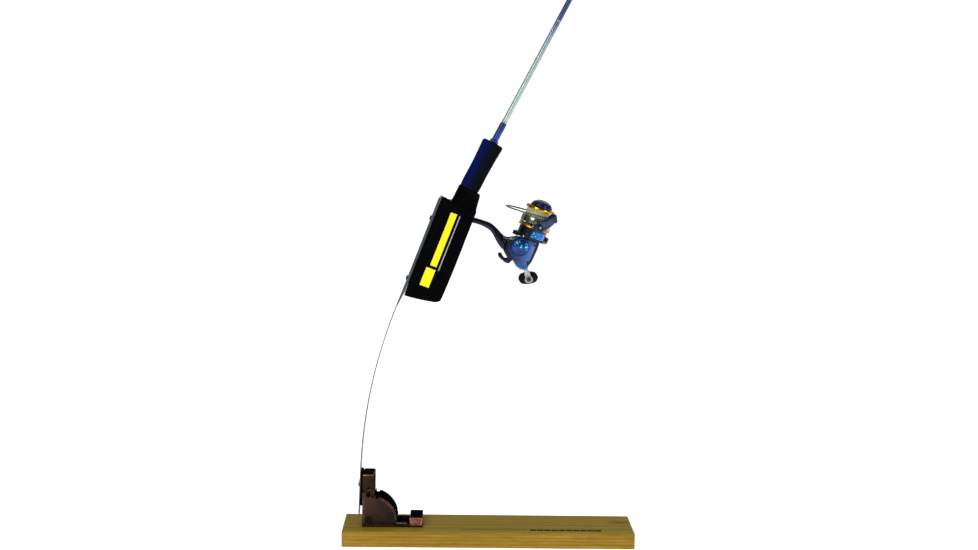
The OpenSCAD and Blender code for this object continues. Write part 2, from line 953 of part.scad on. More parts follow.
// ---- spool ----
module main_shaft() {
  color([0.78, 0.78, 0.8])
    in_reel()
      zcyl(0, 0, 1.5, -14, 54);
}
module osc_slider() {
  color([0.6, 0.6, 0.62])
    in_reel()
      difference() {
        box([-3, -5.5, -6], [4, 2.6, -2.6]);
        zcyl(0, 0, 1.55, -10, 5);
      }
}
module spool() {
  color([0.72, 0.74, 0.74])
    in_reel()
      difference() {
        union() {
          zcyl(0, 0, skirt_r, 27.1, 38);
          zcyl(0, 0, 11.5, 37, 48);
        }
        zcyl(0, 0, 17.1, 20, 36.2);
        zcyl(0, 0, 1.56, 20, 60);
        zcyl(0, 0, 9.4, 44, 60);
      }
}
module spool_lips() {
  color([0.85, 0.65, 0.15])
    in_reel() {
      tube(lip_r, 9.45, 48.05, 49.6);
      tube(skirt_r + 0.7, 17.1, 25, 27.05);
    }
}
module wound_line() {
  color([0.9, 0.9, 0.82])
    in_reel()
      tube(15.6, 11.55, 38.05, 48);
}
module drag_stack() {
  color([0.5, 0.5, 0.5])
    in_reel()
      for (w = [44.2, 45.6, 47])
        translate([0, 0, w])
          tube(9.2, 1.58, 0, 1.2);
}
module drag_knob() {
  color([0.04, 0.07, 0.25])
    in_reel()
      difference() {
        union() {
          intersection() {
            translate([0, 0, 42.4])
              sphere(16, $fn = 96);
            zcyl(0, 0, 12.2, 50, 70);
          }
          zcyl(0, 0, 7, 48.8, 51);
        }
        zcyl(0, 0, 1.56, 40, 55);
      }
}

base_board();
bracket();
end_block();
bracket_screws();
pivot_pin();
swing_arm();
blade_pad();
blade_screws();
lock_pin();
lock_spring();
spring_blade();
backing_bar();
holder_rivets();
rivet_washers();
sleeve();
neck_band();
closure_flap();
rod_blank();
butt_cap();
handle_grip();
slide_rings();
winding_check();
guide_1();
guide_2();
guide_3();
guide_4();
tip_top();
guide_wraps();
reel_frame();
main_bearing();
handle_bearing();
side_cover();
side_cap();
cover_screws();
rear_cap();
ar_lever();
handle_shaft();
drive_gear();
crank_arm();
crank_cap();
knob_post();
crank_knob();
rotor();
rotor_ring();
rotor_nut();
pinion();
bail_pivots();
bail_arm();
bail_wire();
bail_holder();
line_roller();
main_shaft();
osc_slider();
spool();
spool_lips();
wound_line();
drag_stack();
drag_knob();
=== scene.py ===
"""Looks of the ice fishing tip up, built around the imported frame. Lengths are mm unless said otherwise."""
from math import atan2, copysign, cos, degrees, exp, hypot, pi, radians as rad, sin, sqrt, tan

import bmesh
import bpy
from mathutils import Matrix, Vector, noise


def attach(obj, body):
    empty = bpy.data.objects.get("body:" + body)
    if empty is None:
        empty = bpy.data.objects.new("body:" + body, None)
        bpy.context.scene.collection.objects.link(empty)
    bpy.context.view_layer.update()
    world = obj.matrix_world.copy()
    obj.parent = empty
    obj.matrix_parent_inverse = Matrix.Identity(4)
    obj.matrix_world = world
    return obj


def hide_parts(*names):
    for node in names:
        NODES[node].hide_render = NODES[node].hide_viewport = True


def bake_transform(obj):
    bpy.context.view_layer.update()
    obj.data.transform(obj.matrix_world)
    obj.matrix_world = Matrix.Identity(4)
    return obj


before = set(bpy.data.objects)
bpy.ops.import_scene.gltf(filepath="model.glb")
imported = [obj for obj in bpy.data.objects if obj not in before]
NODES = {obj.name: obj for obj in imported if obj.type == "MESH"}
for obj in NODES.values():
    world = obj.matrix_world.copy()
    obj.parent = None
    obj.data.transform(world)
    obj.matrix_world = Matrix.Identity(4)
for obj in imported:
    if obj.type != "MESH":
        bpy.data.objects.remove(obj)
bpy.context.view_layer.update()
scene = bpy.context.scene
MM = 0.001


# ---------------------------------------------------------------- frames
def shift(x, y, z):
    return Matrix.Translation((x, y, z))


def about(axis, angle):
    """A turn round an axis, in degrees."""
    return Matrix.Rotation(rad(angle), 4, axis)


def lean(x, z, tilt, spin=0.0):
    """A frame at (x, 0, z), tipped toward +X by tilt and turned about its own z by spin, in degrees."""
    return shift(x * MM, 0, z * MM) @ about("Y", tilt) @ about("Z", spin)


# origins (x, z) in mm, leans and spin in degrees
HOLDER_AT, HOLDER_LEAN = (-105.58, 296.9), 20.8
ROD_AT, ROD_LEAN = (-84.03, 312.25), 27.1
REEL_AT, REEL_LEAN, ROTOR_SPIN = (38.1, 351.1), 19, 9.7
HANDLE_X = -7.4
WORLD = Matrix.Identity(4)
HOLDER = lean(*HOLDER_AT, HOLDER_LEAN)
ROD = lean(*ROD_AT, ROD_LEAN)
REEL = lean(*REEL_AT, REEL_LEAN)
ROTOR = lean(*REEL_AT, REEL_LEAN, ROTOR_SPIN)


def facing(at, x, z, y=0.0, turn=90):
    """A frame at (x, y, z) of at, whose own z looks toward -Y (turn 90) or +Y (turn -90)."""
    return at @ shift(x * MM, y * MM, z * MM) @ about("X", turn)


# ---------------------------------------------------------------- camera and light
CAMERA_AT = (-43.7, -1375.9, 506.7)
YAW, PITCH, ROLL = 1.63, 7.76, 1.08
LENS, SENSOR_WIDTH = 43.99, 36
NEAR_CLIP_M, FAR_CLIP_M = 0.05, 60


def add_camera():
    """The photograph's camera: angles in degrees, place in mm."""
    yaw, pitch, roll = rad(YAW), rad(PITCH), rad(ROLL)
    ahead = Vector((sin(yaw) * cos(pitch), cos(yaw) * cos(pitch), -sin(pitch)))
    right = Vector((cos(yaw), -sin(yaw), 0))
    up = right.cross(ahead)
    r2 = right * cos(roll) + up * sin(roll)
    u2 = up * cos(roll) - right * sin(roll)
    cam = bpy.data.objects.new("camera", bpy.data.cameras.new("camera"))
    cam.data.lens, cam.data.sensor_width = LENS, SENSOR_WIDTH
    cam.data.clip_start, cam.data.clip_end = NEAR_CLIP_M, FAR_CLIP_M
    scene.collection.objects.link(cam)
    m = Matrix((r2, u2, -ahead)).transposed().to_4x4()
    m.translation = Vector(CAMERA_AT) * MM
    cam.matrix_world = m
    scene.camera = cam


def add_light(name, place, aim, size, power):
    """A soft box: place, aim and size in metres, power in watts."""
    data = bpy.data.lights.new(name, "AREA")
    data.shape, data.size, data.size_y = "RECTANGLE", size[0], size[1]
    data.energy = power
    o = bpy.data.objects.new(name, data)
    scene.collection.objects.link(o)
    o.location = place
    o.rotation_mode = "QUATERNION"
    o.rotation_quaternion = (Vector(aim) - Vector(place)).to_track_quat("-Z", "Y")


def feed(nt, socket, value):
    """Links a socket to another one, or sets its plain value."""
    if isinstance(value, bpy.types.NodeSocket):
        nt.links.new(value, socket)
    else:
        socket.default_value = value


def add_node(nt, kind, values=(), **props):
    n = nt.nodes.new(kind)
    for k, v in props.items():
        setattr(n, k, v)
    for k, v in dict(values).items():
        feed(nt, n.inputs[k], v)
    return n


BACKDROP_GLOW, ROOM_GLOW = 1.05, 0.3


def add_world():
    """The camera sees plain white; the object is lit by a dimmer room, darker toward its -Y side."""
    world = bpy.data.worlds.new("studio")
    scene.world = world
    world.use_nodes = True
    nt = world.node_tree
    nt.nodes.clear()
    way = add_node(nt, "ShaderNodeTexCoord").outputs["Generated"]
    along_y = add_node(nt, "ShaderNodeSeparateXYZ", {0: way}).outputs["Y"]
    even = add_node(nt, "ShaderNodeMapRange", {"Value": along_y, "From Min": -1, "From Max": 1}).outputs[0]
    ramp = add_node(nt, "ShaderNodeValToRGB", {0: even})
    dark, light = ramp.color_ramp.elements
    dark.position, dark.color = 0.30, (0.28, 0.29, 0.31, 1)
    light.position, light.color = 0.72, (1, 1, 1, 1)
    lit = add_node(nt, "ShaderNodeBackground", {"Color": ramp.outputs[0], "Strength": ROOM_GLOW}).outputs[0]
    seen = add_node(nt, "ShaderNodeBackground",
        {"Color": (1, 1, 1, 1), "Strength": BACKDROP_GLOW}).outputs[0]
    ray = add_node(nt, "ShaderNodeLightPath").outputs["Is Camera Ray"]
    mix = add_node(nt, "ShaderNodeMixShader", {0: ray, 1: lit, 2: seen}).outputs[0]
    add_node(nt, "ShaderNodeOutputWorld", {0: mix})


add_camera()
add_world()
for light in (
    ("key", (-0.95, -1.5, 1.35), (0, 0, 0.3), (0.8, 1.0), 15),
    ("fill", (1.25, -1.25, 0.75), (0, 0, 0.35), (0.6, 1.1), 8),
    ("top", (0.1, -0.1, 2.2), (0, 0, 0.2), (1.4, 1.0), 4),
    ("back", (0.2, 1.7, 1.3), (0, 0, 0.3), (1.6, 0.9), 4),
):
    add_light(*light)
scene.view_settings.view_transform = "Standard"


# ---------------------------------------------------------------- materials
def srgb(r, g, b):
    """Linear colour from 0-255 sRGB."""
    f = [c / 255 for c in (r, g, b)]
    return tuple(c / 12.92 if c <= 0.04045 else ((c + 0.055) / 1.055) ** 2.4 for c in f)


def tint(colour, factor):
    """A colour made darker or lighter, no channel over 1."""
    return tuple(min(1, c * factor) for c in colour)


class Finish:
    """One procedural material. Its texture space is mm in the piece's frame, or in the frame given."""

    def __init__(self, name, colour, rough=0.5, metal=0.0, tilt=0.0, origin=(0, 0, 0), **sockets):
        self.mat = bpy.data.materials.new(name)
        self.mat.use_nodes = True
        self.nt = self.mat.node_tree
        self.bsdf = self.nt.nodes["Principled BSDF"]
        self.put("Base Color", (*colour, 1))
        self.put("Roughness", rough)
        self.put("Metallic", metal)
        for k, v in sockets.items():
            self.put(k.replace("_", " "), v)
        self.tc = self.nt.nodes.new("ShaderNodeTexCoord")
        shift = self.nt.nodes.new("ShaderNodeMapping")
        shift.inputs["Location"].default_value = [-c for c in origin]
        shift.inputs["Scale"].default_value = (1000,) * 3
        turn = self.nt.nodes.new("ShaderNodeMapping")
        turn.inputs["Rotation"].default_value = (0, rad(-tilt), 0)
        self.nt.links.new(self.tc.outputs["Object"], shift.inputs[0])
        self.nt.links.new(shift.outputs[0], turn.inputs[0])
        self.pos = turn.outputs[0]
        self.bumps = None

    def put(self, socket, value):
        feed(self.nt, self.bsdf.inputs[socket], value)

    def node(self, kind, values=(), **props):
        return add_node(self.nt, kind, values, **props)

    def stretch(self, x, y, z, vec=None):
        n = self.node("ShaderNodeVectorMath", {0: vec or self.pos, 1: (x, y, z)}, operation="MULTIPLY")
        return n.outputs[0]

    def axis(self, name, vec=None):
        return self.node("ShaderNodeSeparateXYZ", {0: vec or self.pos}).outputs[name]

    def noise(self, scale=1.0, detail=3.0, rough=0.5, vec=None):
        n = self.node("ShaderNodeTexNoise", {"Vector": vec or self.pos, "Scale": scale, "Detail": detail,
            "Roughness": rough})
        return n.outputs["Fac"]

    def cells(self, scale):
        n = self.node("ShaderNodeTexVoronoi", {"Vector": self.pos, "Scale": scale})
        return n.outputs["Distance"]

    def calc(self, op, a, b=0.0):
        return self.node("ShaderNodeMath", {0: a, 1: b}, operation=op).outputs[0]

    def times(self, a, b):
        return self.calc("MULTIPLY", a, b)

    def plus(self, a, b):
        return self.calc("ADD", a, b)

    def wave(self, value, speed):
        return self.calc("SINE", self.times(value, speed))

    def looks(self, axis):
        """How far a face looks along an axis, -1 to 1."""
        return self.axis(axis, self.tc.outputs["Normal"])

    def colour(self, value):
        self.put("Base Color", value)

    def span(self, value, a, b, low=0.0, high=1.0, smooth=False):
        n = self.node("ShaderNodeMapRange", {"Value": value, "From Min": a, "From Max": b, "To Min": low,
            "To Max": high})
        if smooth:
            n.interpolation_type = "SMOOTHSTEP"
        return n.outputs[0]

    def ramp(self, fac, stops):
        n = self.node("ShaderNodeValToRGB", {0: fac})
        r = n.color_ramp
        while len(r.elements) < len(stops):
            r.elements.new(0.5)
        for e, (p, c) in zip(r.elements, stops):
            e.position = p
        for e, (p, c) in zip(r.elements, stops):
            e.color = (*c, 1)
        return n.outputs[0]

    def mix(self, fac, a, b, mode="MIX"):
        a, b = (v if isinstance(v, bpy.types.NodeSocket) else (*v, 1) for v in (a, b))
        return self.node("ShaderNodeMix", {0: fac, 6: a, 7: b}, data_type="RGBA",
            blend_type=mode).outputs[2]

    def bump(self, height, depth_mm, strength=1.0):
        n = self.node("ShaderNodeBump", {"Height": height, "Strength": strength, "Distance": depth_mm * MM})
        if self.bumps:
            self.nt.links.new(self.bumps, n.inputs["Normal"])
        self.bumps = n.outputs[0]
        self.nt.links.new(self.bumps, self.bsdf.inputs["Normal"])

    def shade(self, colour, spread, scale):
        """The base colour, a little uneven."""
        f = self.noise(scale, 4)
        self.colour(self.mix(self.span(f, 0.3, 0.7), tint(colour, 1 - spread), tint(colour, 1 + spread)))

    def wear(self, low, high, scale):
        """Uneven roughness from low to high."""
        self.put("Roughness", self.span(self.noise(scale, 5, 0.6), 0.3, 0.7, low, high))


def up_face(f):
    """1 on faces that look up, 0 elsewhere."""
    return f.span(f.looks("Z"), 0.75, 0.95)


def make_oak():
    f = Finish("oak", (0.3, 0.2, 0.05), 0.6, Specular_IOR_Level=0.06)
    ring_at = f.node("ShaderNodeVectorMath", {0: f.stretch(0.022, 1, 1), 1: (0, 38, 62)},
        operation="ADD").outputs[0]
    rings = f.node("ShaderNodeTexWave", {"Vector": ring_at, "Scale": 0.075, "Distortion": 7.0,
        "Detail": 2.0, "Detail Scale": 0.06, "Detail Roughness": 0.5}, wave_type="RINGS",
        rings_direction="X", wave_profile="SAW").outputs["Fac"]
    streak = f.noise(1.0, 5, 0.6, f.stretch(0.012, 0.55, 0.55))
    stain = f.mix(f.span(streak, 0.32, 0.68), (0.83, 0.80, 0.74), (1.1, 1.1, 1.12))
    base = f.ramp(rings, [(0.0, srgb(166, 142, 46)), (0.4, srgb(172, 147, 52)), (0.75, srgb(163, 137, 42)),
        (0.94, srgb(148, 119, 32)), (1.0, srgb(160, 133, 40))])
    colour = f.mix(1.0, base, stain, "MULTIPLY")
    # front and back edges are a warmer, lighter cut than the faces
    side = f.calc("ABSOLUTE", f.looks("Y"))
    flame = f.noise(1.0, 4, 0.6, f.stretch(0.02, 0.12, 0.12))
    warm = f.mix(f.span(flame, 0.35, 0.65), (0.80, 0.70, 0.86), (0.98, 0.86, 1.06))
    colour = f.mix(f.span(side, 0.5, 0.9), colour, f.mix(1.0, colour, warm, "MULTIPLY"))
    low = f.times(f.span(f.axis("Z"), 3.4, 0.8), f.span(f.axis("X"), -80, -150))
    colour = f.mix(f.times(low, 0.5), colour, srgb(150, 96, 30))
    # a knot near the right end
    near = f.node("ShaderNodeVectorMath", {0: f.pos, 1: (-158, -8, -19)}, operation="ADD").outputs[0]
    knot = f.node("ShaderNodeVectorMath", {0: f.stretch(0.055, 0.13, 0.1, near)},
        operation="LENGTH").outputs["Value"]
    swirl = f.wave(knot, 13)
    shade = f.times(f.span(knot, 0.25, 1.15, 1, 0), f.span(swirl, -1, 1, 0.3, 0.8))
    colour = f.mix(shade, colour, srgb(108, 74, 26))
    # open pores
    pores = f.noise(1.0, 1, 0.5, f.stretch(0.07, 2.6, 2.6))
    pore = f.span(pores, 0.62, 0.72)
    colour = f.mix(f.times(pore, 0.55), colour, srgb(84, 58, 20))
    f.colour(colour)
    f.put("Roughness", f.span(streak, 0.3, 0.7, 0.42, 0.6))
    f.bump(f.calc("SUBTRACT", 1.0, pore), 0.12, 0.5)
    f.bump(streak, 0.25, 0.25)
    return f.mat


def make_patina(name, brown, dark, top, rough=0.42, extra=None):
    """Antique copper: brown with cloudy dark patina, and near-black painted shade on the faces that look up.
    """
    f = Finish(name, brown, rough, 0.55, Specular_IOR_Level=0.4)
    cloud = f.noise(0.09, 5, 0.6)
    fleck = f.noise(0.9, 4, 0.65)
    colour = f.ramp(cloud, [(0.30, dark), (0.46, brown), (0.62, tint(brown, 1.5)), (0.75, dark)])
    colour = f.mix(f.span(fleck, 0.55, 0.75, 0, 0.6), colour, tint(brown, 2.1))
    # painted shade: faces that look up take the near-black top colour
    colour = f.mix(up_face(f), colour, top)
    if extra:
        colour = extra(f, colour)
    f.colour(colour)
    ends = f.span(f.calc("ABSOLUTE", f.looks("X")), 0.8, 0.95)
    up = f.calc("MAXIMUM", up_face(f), ends)
    f.put("Metallic", f.span(up, 0, 1, 0.5, 0.0))
    f.put("Specular IOR Level", f.span(up, 0, 1, 0.22, 0.0))
    f.put("Roughness", f.plus(f.span(f.noise(0.35, 5, 0.6), 0.3, 0.7, rough - 0.08, rough + 0.2),
        f.times(up, 0.35)))
    f.bump(fleck, 0.05, 0.6)
    f.bump(f.noise(0.25, 3), 0.25, 0.25)
    return f.mat


def make_wear_and_highlight(name, colour, rough=0.34):
    """The bright edge where patina has rubbed off, lightened further as a painted highlight, and near black
    as painted shade on far faces that look inward.
    """
    f = Finish(name, colour, rough, 0.75)
    tone = f.mix(f.span(f.noise(0.35, 4, 0.6), 0.38, 0.66), tint(colour, 0.3), colour)
    # painted shade: on the far side, faces that look inward toward -Y go near black
    f.colour(f.mix(f.times(f.span(f.axis("Y"), 3, 8), f.span(f.looks("Y"), 0.3, -0.1)), tone,
        tint(colour, 0.05)))
    f.wear(rough - 0.08, rough + 0.15, 0.8)
    f.bump(f.noise(1.6, 3), 0.03, 0.5)
    return f.mat


def make_metal(name, colour, low, high, grain=(1, 1, 1), depth=0.01):
    """Turned or brushed metal: grain stretches the scratches, fine along its small axes."""
    f = Finish(name, colour, low, 1.0)
    scratch = f.noise(1.0, 4, 0.7, f.stretch(*(4.0 * g for g in grain)))
    f.colour(f.mix(f.span(scratch, 0.3, 0.7), tint(colour, 0.86), colour))
    f.put("Roughness", f.span(scratch, 0.3, 0.75, low, high))
    f.bump(scratch, depth, 0.5)
    return f.mat


def make_paint(name, colour, second=None, metal=0.35, rough=0.22, fleck=0.5, coat=0.7, scale=0.06):
    """Lacquered part: metal flake under a clear coat, drifting toward a second tone."""
    f = Finish(name, colour, rough, metal, Coat_Weight=coat, Coat_Roughness=0.06)
    second = second or tint(colour, 0.6)
    drift = f.mix(f.span(f.noise(scale, 2), 0.35, 0.65, smooth=True), colour, second)
    flake = f.cells(7.0)
    drift = f.mix(f.span(flake, 0.05, 0.35, fleck, 0.0), drift,
        tuple(min(1, c * 1.9 + 0.02) for c in colour))
    f.colour(drift)
    f.wear(rough - 0.06, rough + 0.08, 0.5)
    f.bump(f.noise(2.5, 2), 0.01, 0.4)
    return f.mat


def make_pearl():
    """Side plate: pearl paint, deep blue low on the left to lavender high on the right, as painted shade and
    painted highlight.
    """
    f = Finish("pearl_plate", srgb(50, 78, 142), 0.34, 0.7, Coat_Weight=0.15, Coat_Roughness=0.06)
    # painted highlight and shade: lavender toward the upper right, deep blue toward the lower left, broken up
    # by cloudy noise
    sweep = f.plus(f.axis("X"), f.times(f.axis("Z"), 0.45))
    cloud = f.times(f.noise(0.07, 2), 9.0)
    tone = f.span(f.plus(sweep, cloud), -14, 12, smooth=True)
    f.colour(f.mix(tone, srgb(16, 36, 88), srgb(80, 106, 172)))
    f.wear(0.3, 0.44, 0.5)
    f.bump(f.noise(2.5, 2), 0.01, 0.4)
    return f.mat


def make_plastic(name, colour, rough=0.4, spec=0.4, grain=0.02, scale=3.0):
    f = Finish(name, colour, rough, 0.0, Specular_IOR_Level=spec)
    f.shade(colour, 0.18, 0.3)
    f.wear(rough - 0.08, rough + 0.12, 0.7)
    f.bump(f.noise(scale, 3, 0.6), grain, 0.6)
    return f.mat


THREAD = 1.5


def make_fabric():
    """Coarse black nylon: a plain weave whose threads follow the panel."""
    f = Finish("black_weave", (0.004, 0.004, 0.0045), 0.85, Specular_IOR_Level=0.012)
    across = f.plus(f.axis("X"), f.axis("Y"))
    warp = f.wave(across, 2 * pi / THREAD)
    weft = f.wave(f.axis("Z"), 2 * pi / THREAD)
    weave = f.times(warp, weft)
    fuzz = f.noise(2.2, 4, 0.7)
    f.colour(f.ramp(f.plus(f.times(weave, 0.22), fuzz), [(0.2, (0.0006, 0.0006, 0.0008)),
        (0.8, (0.0034, 0.0034, 0.0042))]))
    f.put("Roughness", f.span(fuzz, 0.3, 0.7, 0.72, 0.95))
    f.bump(weave, 0.14, 0.7)
    f.bump(fuzz, 0.12, 0.4)
    return f.mat


def make_webbing(name, colour):
    f = Finish(name, colour, 0.8, Specular_IOR_Level=0.05)
    rib = f.wave(f.axis("Z"), 2 * pi / 0.9)
    f.shade(colour, 0.3, 1.5)
    f.bump(rib, 0.1, 0.6)
    f.bump(f.noise(3.0, 3), 0.06, 0.5)
    return f.mat


def make_thread(name, colour):
    f = Finish(name, colour, 0.7, Specular_IOR_Level=0.06)
    twist = f.wave(f.plus(f.axis("Z"), f.axis("X")), 2 * pi / 0.4)
    f.shade(colour, 0.2, 1.0)
    f.bump(twist, 0.05, 0.7)
    return f.mat


def make_print(name, colour):
    """Ink on the fabric, with the weave still felt through it."""
    f = Finish(name, colour, 0.55, Specular_IOR_Level=0.3)
    warp = f.wave(f.axis("X"), 2 * pi / THREAD)
    weft = f.wave(f.axis("Z"), 2 * pi / THREAD)
    f.colour(f.mix(f.span(f.noise(1.4, 4, 0.7), 0.35, 0.7), colour, tint(colour, 0.86)))
    f.wear(0.5, 0.65, 1.0)
    f.bump(f.times(warp, weft), 0.1, 0.6)
    return f.mat


def make_ink():
    f = Finish("board_ink", srgb(48, 38, 14), 0.6, Specular_IOR_Level=0.03)
    gap = f.noise(1.0, 2, 0.6, f.stretch(0.3, 2.4, 2.4))
    f.colour(f.mix(f.span(gap, 0.5, 0.72), srgb(40, 32, 12), srgb(92, 76, 30)))
    f.wear(0.5, 0.7, 1.0)
    f.bump(gap, 0.02, 0.5)
    return f.mat


def make_foam():
    f = Finish("grip_foam", srgb(14, 24, 92), 0.78, Specular_IOR_Level=0.04)
    pore = f.cells(1.6)
    big = f.noise(0.1, 3)
    # painted sheen and shade: bright blue on the grip's left (-X) side, darkening to near-black navy on its
    # right
    side = f.ramp(f.span(f.plus(f.axis("X"), f.times(big, 3.0)), -10.5, 11.5),
        [(0.0, srgb(3, 16, 78)), (0.2, srgb(3, 19, 88)), (0.42, srgb(5, 14, 40)), (0.7, srgb(6, 12, 25)),
        (1.0, srgb(4, 6, 12))])
    f.colour(f.mix(f.span(pore, 0.08, 0.4), f.mix(0.45, side, (0, 0, 0)), side))
    f.put("Roughness", f.span(pore, 0.1, 0.5, 0.9, 0.7))
    f.bump(pore, 0.12, 0.6)
    f.bump(f.noise(0.5, 4), 0.15, 0.3)
    return f.mat


def make_blank():
    """The rod: dark blue at the grip, silver with a green-grey cast, then blue to the tip."""
    f = Finish("rod_finish", srgb(150, 168, 166), 0.26, 0.5, ROD_LEAN, (ROD_AT[0], 0, ROD_AT[1]),
        Coat_Weight=0.25, Coat_Roughness=0.1)
    s = f.calc("DIVIDE", f.axis("Z"), 1000.0)
    navy, deep, blue = srgb(22, 38, 100), srgb(10, 18, 60), srgb(20, 56, 108)
    silver, pale = srgb(166, 188, 178), srgb(142, 162, 162)
    colour = f.ramp(s, [(0.0, deep), (0.186, navy), (0.2045, navy), (0.2055, silver), (0.29, pale),
        (0.312, srgb(122, 148, 158)), (0.338, blue), (0.40, deep), (1.0, navy)])
    cloth = f.times(f.wave(f.axis("Z"), 2.6), f.wave(f.plus(f.axis("X"), f.axis("Y")), 2.6))
    colour = f.mix(f.span(cloth, -1, 1, 0.0, 0.02), colour, srgb(60, 72, 84))
    f.colour(colour)
    f.wear(0.2, 0.34, 0.6)
    f.bump(f.noise(1.0, 3, 0.6, f.stretch(1.2, 1.2, 0.5)), 0.005, 0.4)
    return f.mat


def make_line():
    f = Finish("wound_line", srgb(196, 198, 178), 0.4, 0.0, Specular_IOR_Level=0.5, Coat_Weight=0.2)
    lay = f.wave(f.axis("Z"), 2 * pi / 0.55)
    f.colour(f.mix(f.span(f.noise(0.5, 3), 0.35, 0.65), srgb(172, 178, 140), srgb(198, 204, 168)))
    f.wear(0.32, 0.5, 0.9)
    f.bump(lay, 0.05, 0.7)
    return f.mat


def make_knurl(name, colour):
    """Turned metal with fine rings about the piece's own z."""
    f = Finish(name, colour, 0.2, 1.0)
    rings = f.wave(f.axis("Z"), 2 * pi / 0.5)
    f.colour(f.mix(f.span(f.noise(0.6, 3), 0.35, 0.65), tint(colour, 0.82), colour))
    f.wear(0.14, 0.3, 0.7)
    f.bump(rings, 0.015, 0.5)
    return f.mat


def bracket_tones(f, colour):
    """The near cheek reddens to its upper left as a painted highlight, the far one is painted near black as
    shade, and the deck's edge gets a grey-green painted sheen.
    """
    # painted highlight: the near cheek turns a lighter red toward its upper left
    red_highlight = f.times(f.span(f.axis("X"), -112, -146), f.span(f.axis("Z"), 22, 56, 0.1, 0.55))
    colour = f.mix(red_highlight, colour, srgb(88, 52, 38))
    # painted shade: on the far cheek, faces that do not look out toward +Y go near black
    inner = f.times(f.span(f.axis("Y"), 3, 8), f.span(f.looks("Y"), 0.6, 0.1))
    colour = f.mix(inner, colour, srgb(7, 6, 7))
    # painted sheen: a grey-green strip on the deck's upward faces along its front edge
    strip = f.times(f.span(f.axis("Y"), -8.5, -10.5), f.span(f.axis("X"), -117, -112))
    strip = f.times(f.times(strip, up_face(f)), f.span(f.axis("X"), -96.0, -98.0))
    return f.mix(strip, colour, srgb(112, 116, 96))


FINISHES = {
    "oak": make_oak(),
    # in each patina below, the third colour is the near-black painted shade on faces that look up
    "copper": make_patina("antique_copper", srgb(34, 21, 12), srgb(18, 12, 7), srgb(10, 9, 10),
        extra=bracket_tones),
    # bright bevels and beads: rubbed patina with a painted highlight
    "copper_wear_and_highlight": make_wear_and_highlight("copper_wear_and_highlight", srgb(98, 60, 47), 0.46),
    "block": make_patina("copper_block", srgb(132, 80, 60), srgb(86, 50, 40), srgb(14, 14, 14), 0.36),
    # painted highlight on the end block's raised rim
    "block_rim_highlight": make_wear_and_highlight("block_rim_highlight", srgb(198, 140, 116), 0.3),
    "arm": make_patina("arm_copper", srgb(40, 24, 10), srgb(18, 11, 5), srgb(16, 18, 20)),
    # painted highlight: the light pink line along the arm's top front edge
    "arm_edge_highlight": make_wear_and_highlight("arm_edge_highlight", srgb(196, 146, 128), 0.4),
    "dark": make_patina("dark_patina", srgb(26, 20, 18), srgb(12, 10, 9), srgb(14, 12, 11), 0.55),
    "blade": make_metal("spring_steel", srgb(112, 122, 112), 0.3, 0.48, (1, 0.12, 1)),
    "bar": make_paint("bar_enamel", srgb(84, 98, 106), srgb(58, 70, 78), 0.35, 0.4, 0.1, 0.15, 0.02),
    "steel": make_metal("plain_steel", srgb(150, 152, 154), 0.2, 0.38),
    "pin": make_metal("pin_steel", srgb(54, 52, 32), 0.35, 0.55),
    "chrome": make_metal("chrome_plate", srgb(150, 158, 164), 0.06, 0.16, (0.4, 0.4, 0.4), 0.004),
    "brass": make_metal("gear_brass", srgb(190, 158, 90), 0.25, 0.4),
    "guide": make_metal("guide_plate", srgb(78, 80, 86), 0.16, 0.3),
    "wire": make_metal("bail_steel", srgb(98, 100, 82), 0.14, 0.26),
    "gold": make_knurl("gold_anodised", srgb(222, 168, 34)),
    "silver": make_metal("spool_silver", srgb(164, 168, 146), 0.14, 0.28, (0.2, 0.2, 1.6)),
    "rubber": make_plastic("black_rubber", srgb(12, 13, 14), 0.6, 0.12, 0.05, 2.0),
    "washer": make_plastic("fibre_washer", srgb(128, 124, 112), 0.8, 0.2, 0.08, 1.5),
    "pad": make_plastic("pad_black", srgb(5, 5, 6), 0.85, 0.03, 0.05, 1.6),
    "plastic": make_plastic("gloss_black", srgb(9, 10, 12), 0.34, 0.16),
    "weave": make_fabric(),
    "binding": make_webbing("black_binding", srgb(15, 15, 18)),
    "thread": make_thread("black_thread", srgb(16, 16, 20)),
    "yellow": make_print("yellow_print", srgb(250, 246, 4)),
    "white": make_print("white_print", srgb(166, 168, 186)),
    "ink": make_ink(),
    "foam": make_foam(),
    "blank": make_blank(),
    "wrap": make_paint("lacquered_wrap", srgb(16, 56, 140), srgb(6, 30, 96), 0.5, 0.3, 0.1, 0.2),
    "ink_blue": make_paint("reel_enamel", srgb(16, 22, 48), srgb(6, 9, 20), 0.75, 0.28, 0.15, 0.2, 0.09),
    "rotor": make_paint("rotor_enamel", srgb(16, 22, 38), srgb(9, 11, 18), 0.7, 0.32, 0.1, 0.15),
    "lavender": make_pearl(),
    # painted highlight: light grey for the neck bolster beside the rotor
    "shoulder": make_paint("shoulder_painted_highlight", srgb(84, 96, 102), srgb(22, 28, 42), 0.75, 0.2, 0.15, 0.4,
        0.16),
    "dome": make_paint("dome_blue", srgb(4, 74, 150), srgb(2, 34, 96), 0.7, 0.2, 0.25, 0.3),
    "glint": make_paint("dome_glint", srgb(120, 226, 244), srgb(70, 200, 190), 0.3, 0.15, 0.2, 0.6, 0.3),
    "sky": make_paint("arm_blue", srgb(6, 140, 220), srgb(2, 80, 170), 0.6, 0.22, 0.2, 0.4, 0.14),
    "cap": make_paint("cap_blue", srgb(3, 88, 150), srgb(1, 38, 84), 0.65, 0.24, 0.2, 0.25, 0.12),
    "bail_navy": make_paint("bail_navy", srgb(12, 19, 46), srgb(44, 56, 96), 0.7, 0.28, 0.1, 0.25, 0.1),
    "knob": make_paint("knob_navy", srgb(12, 38, 108), srgb(10, 15, 34), 0.7, 0.26, 0.03, 0.25, 0.08),
    "line": make_line(),
}


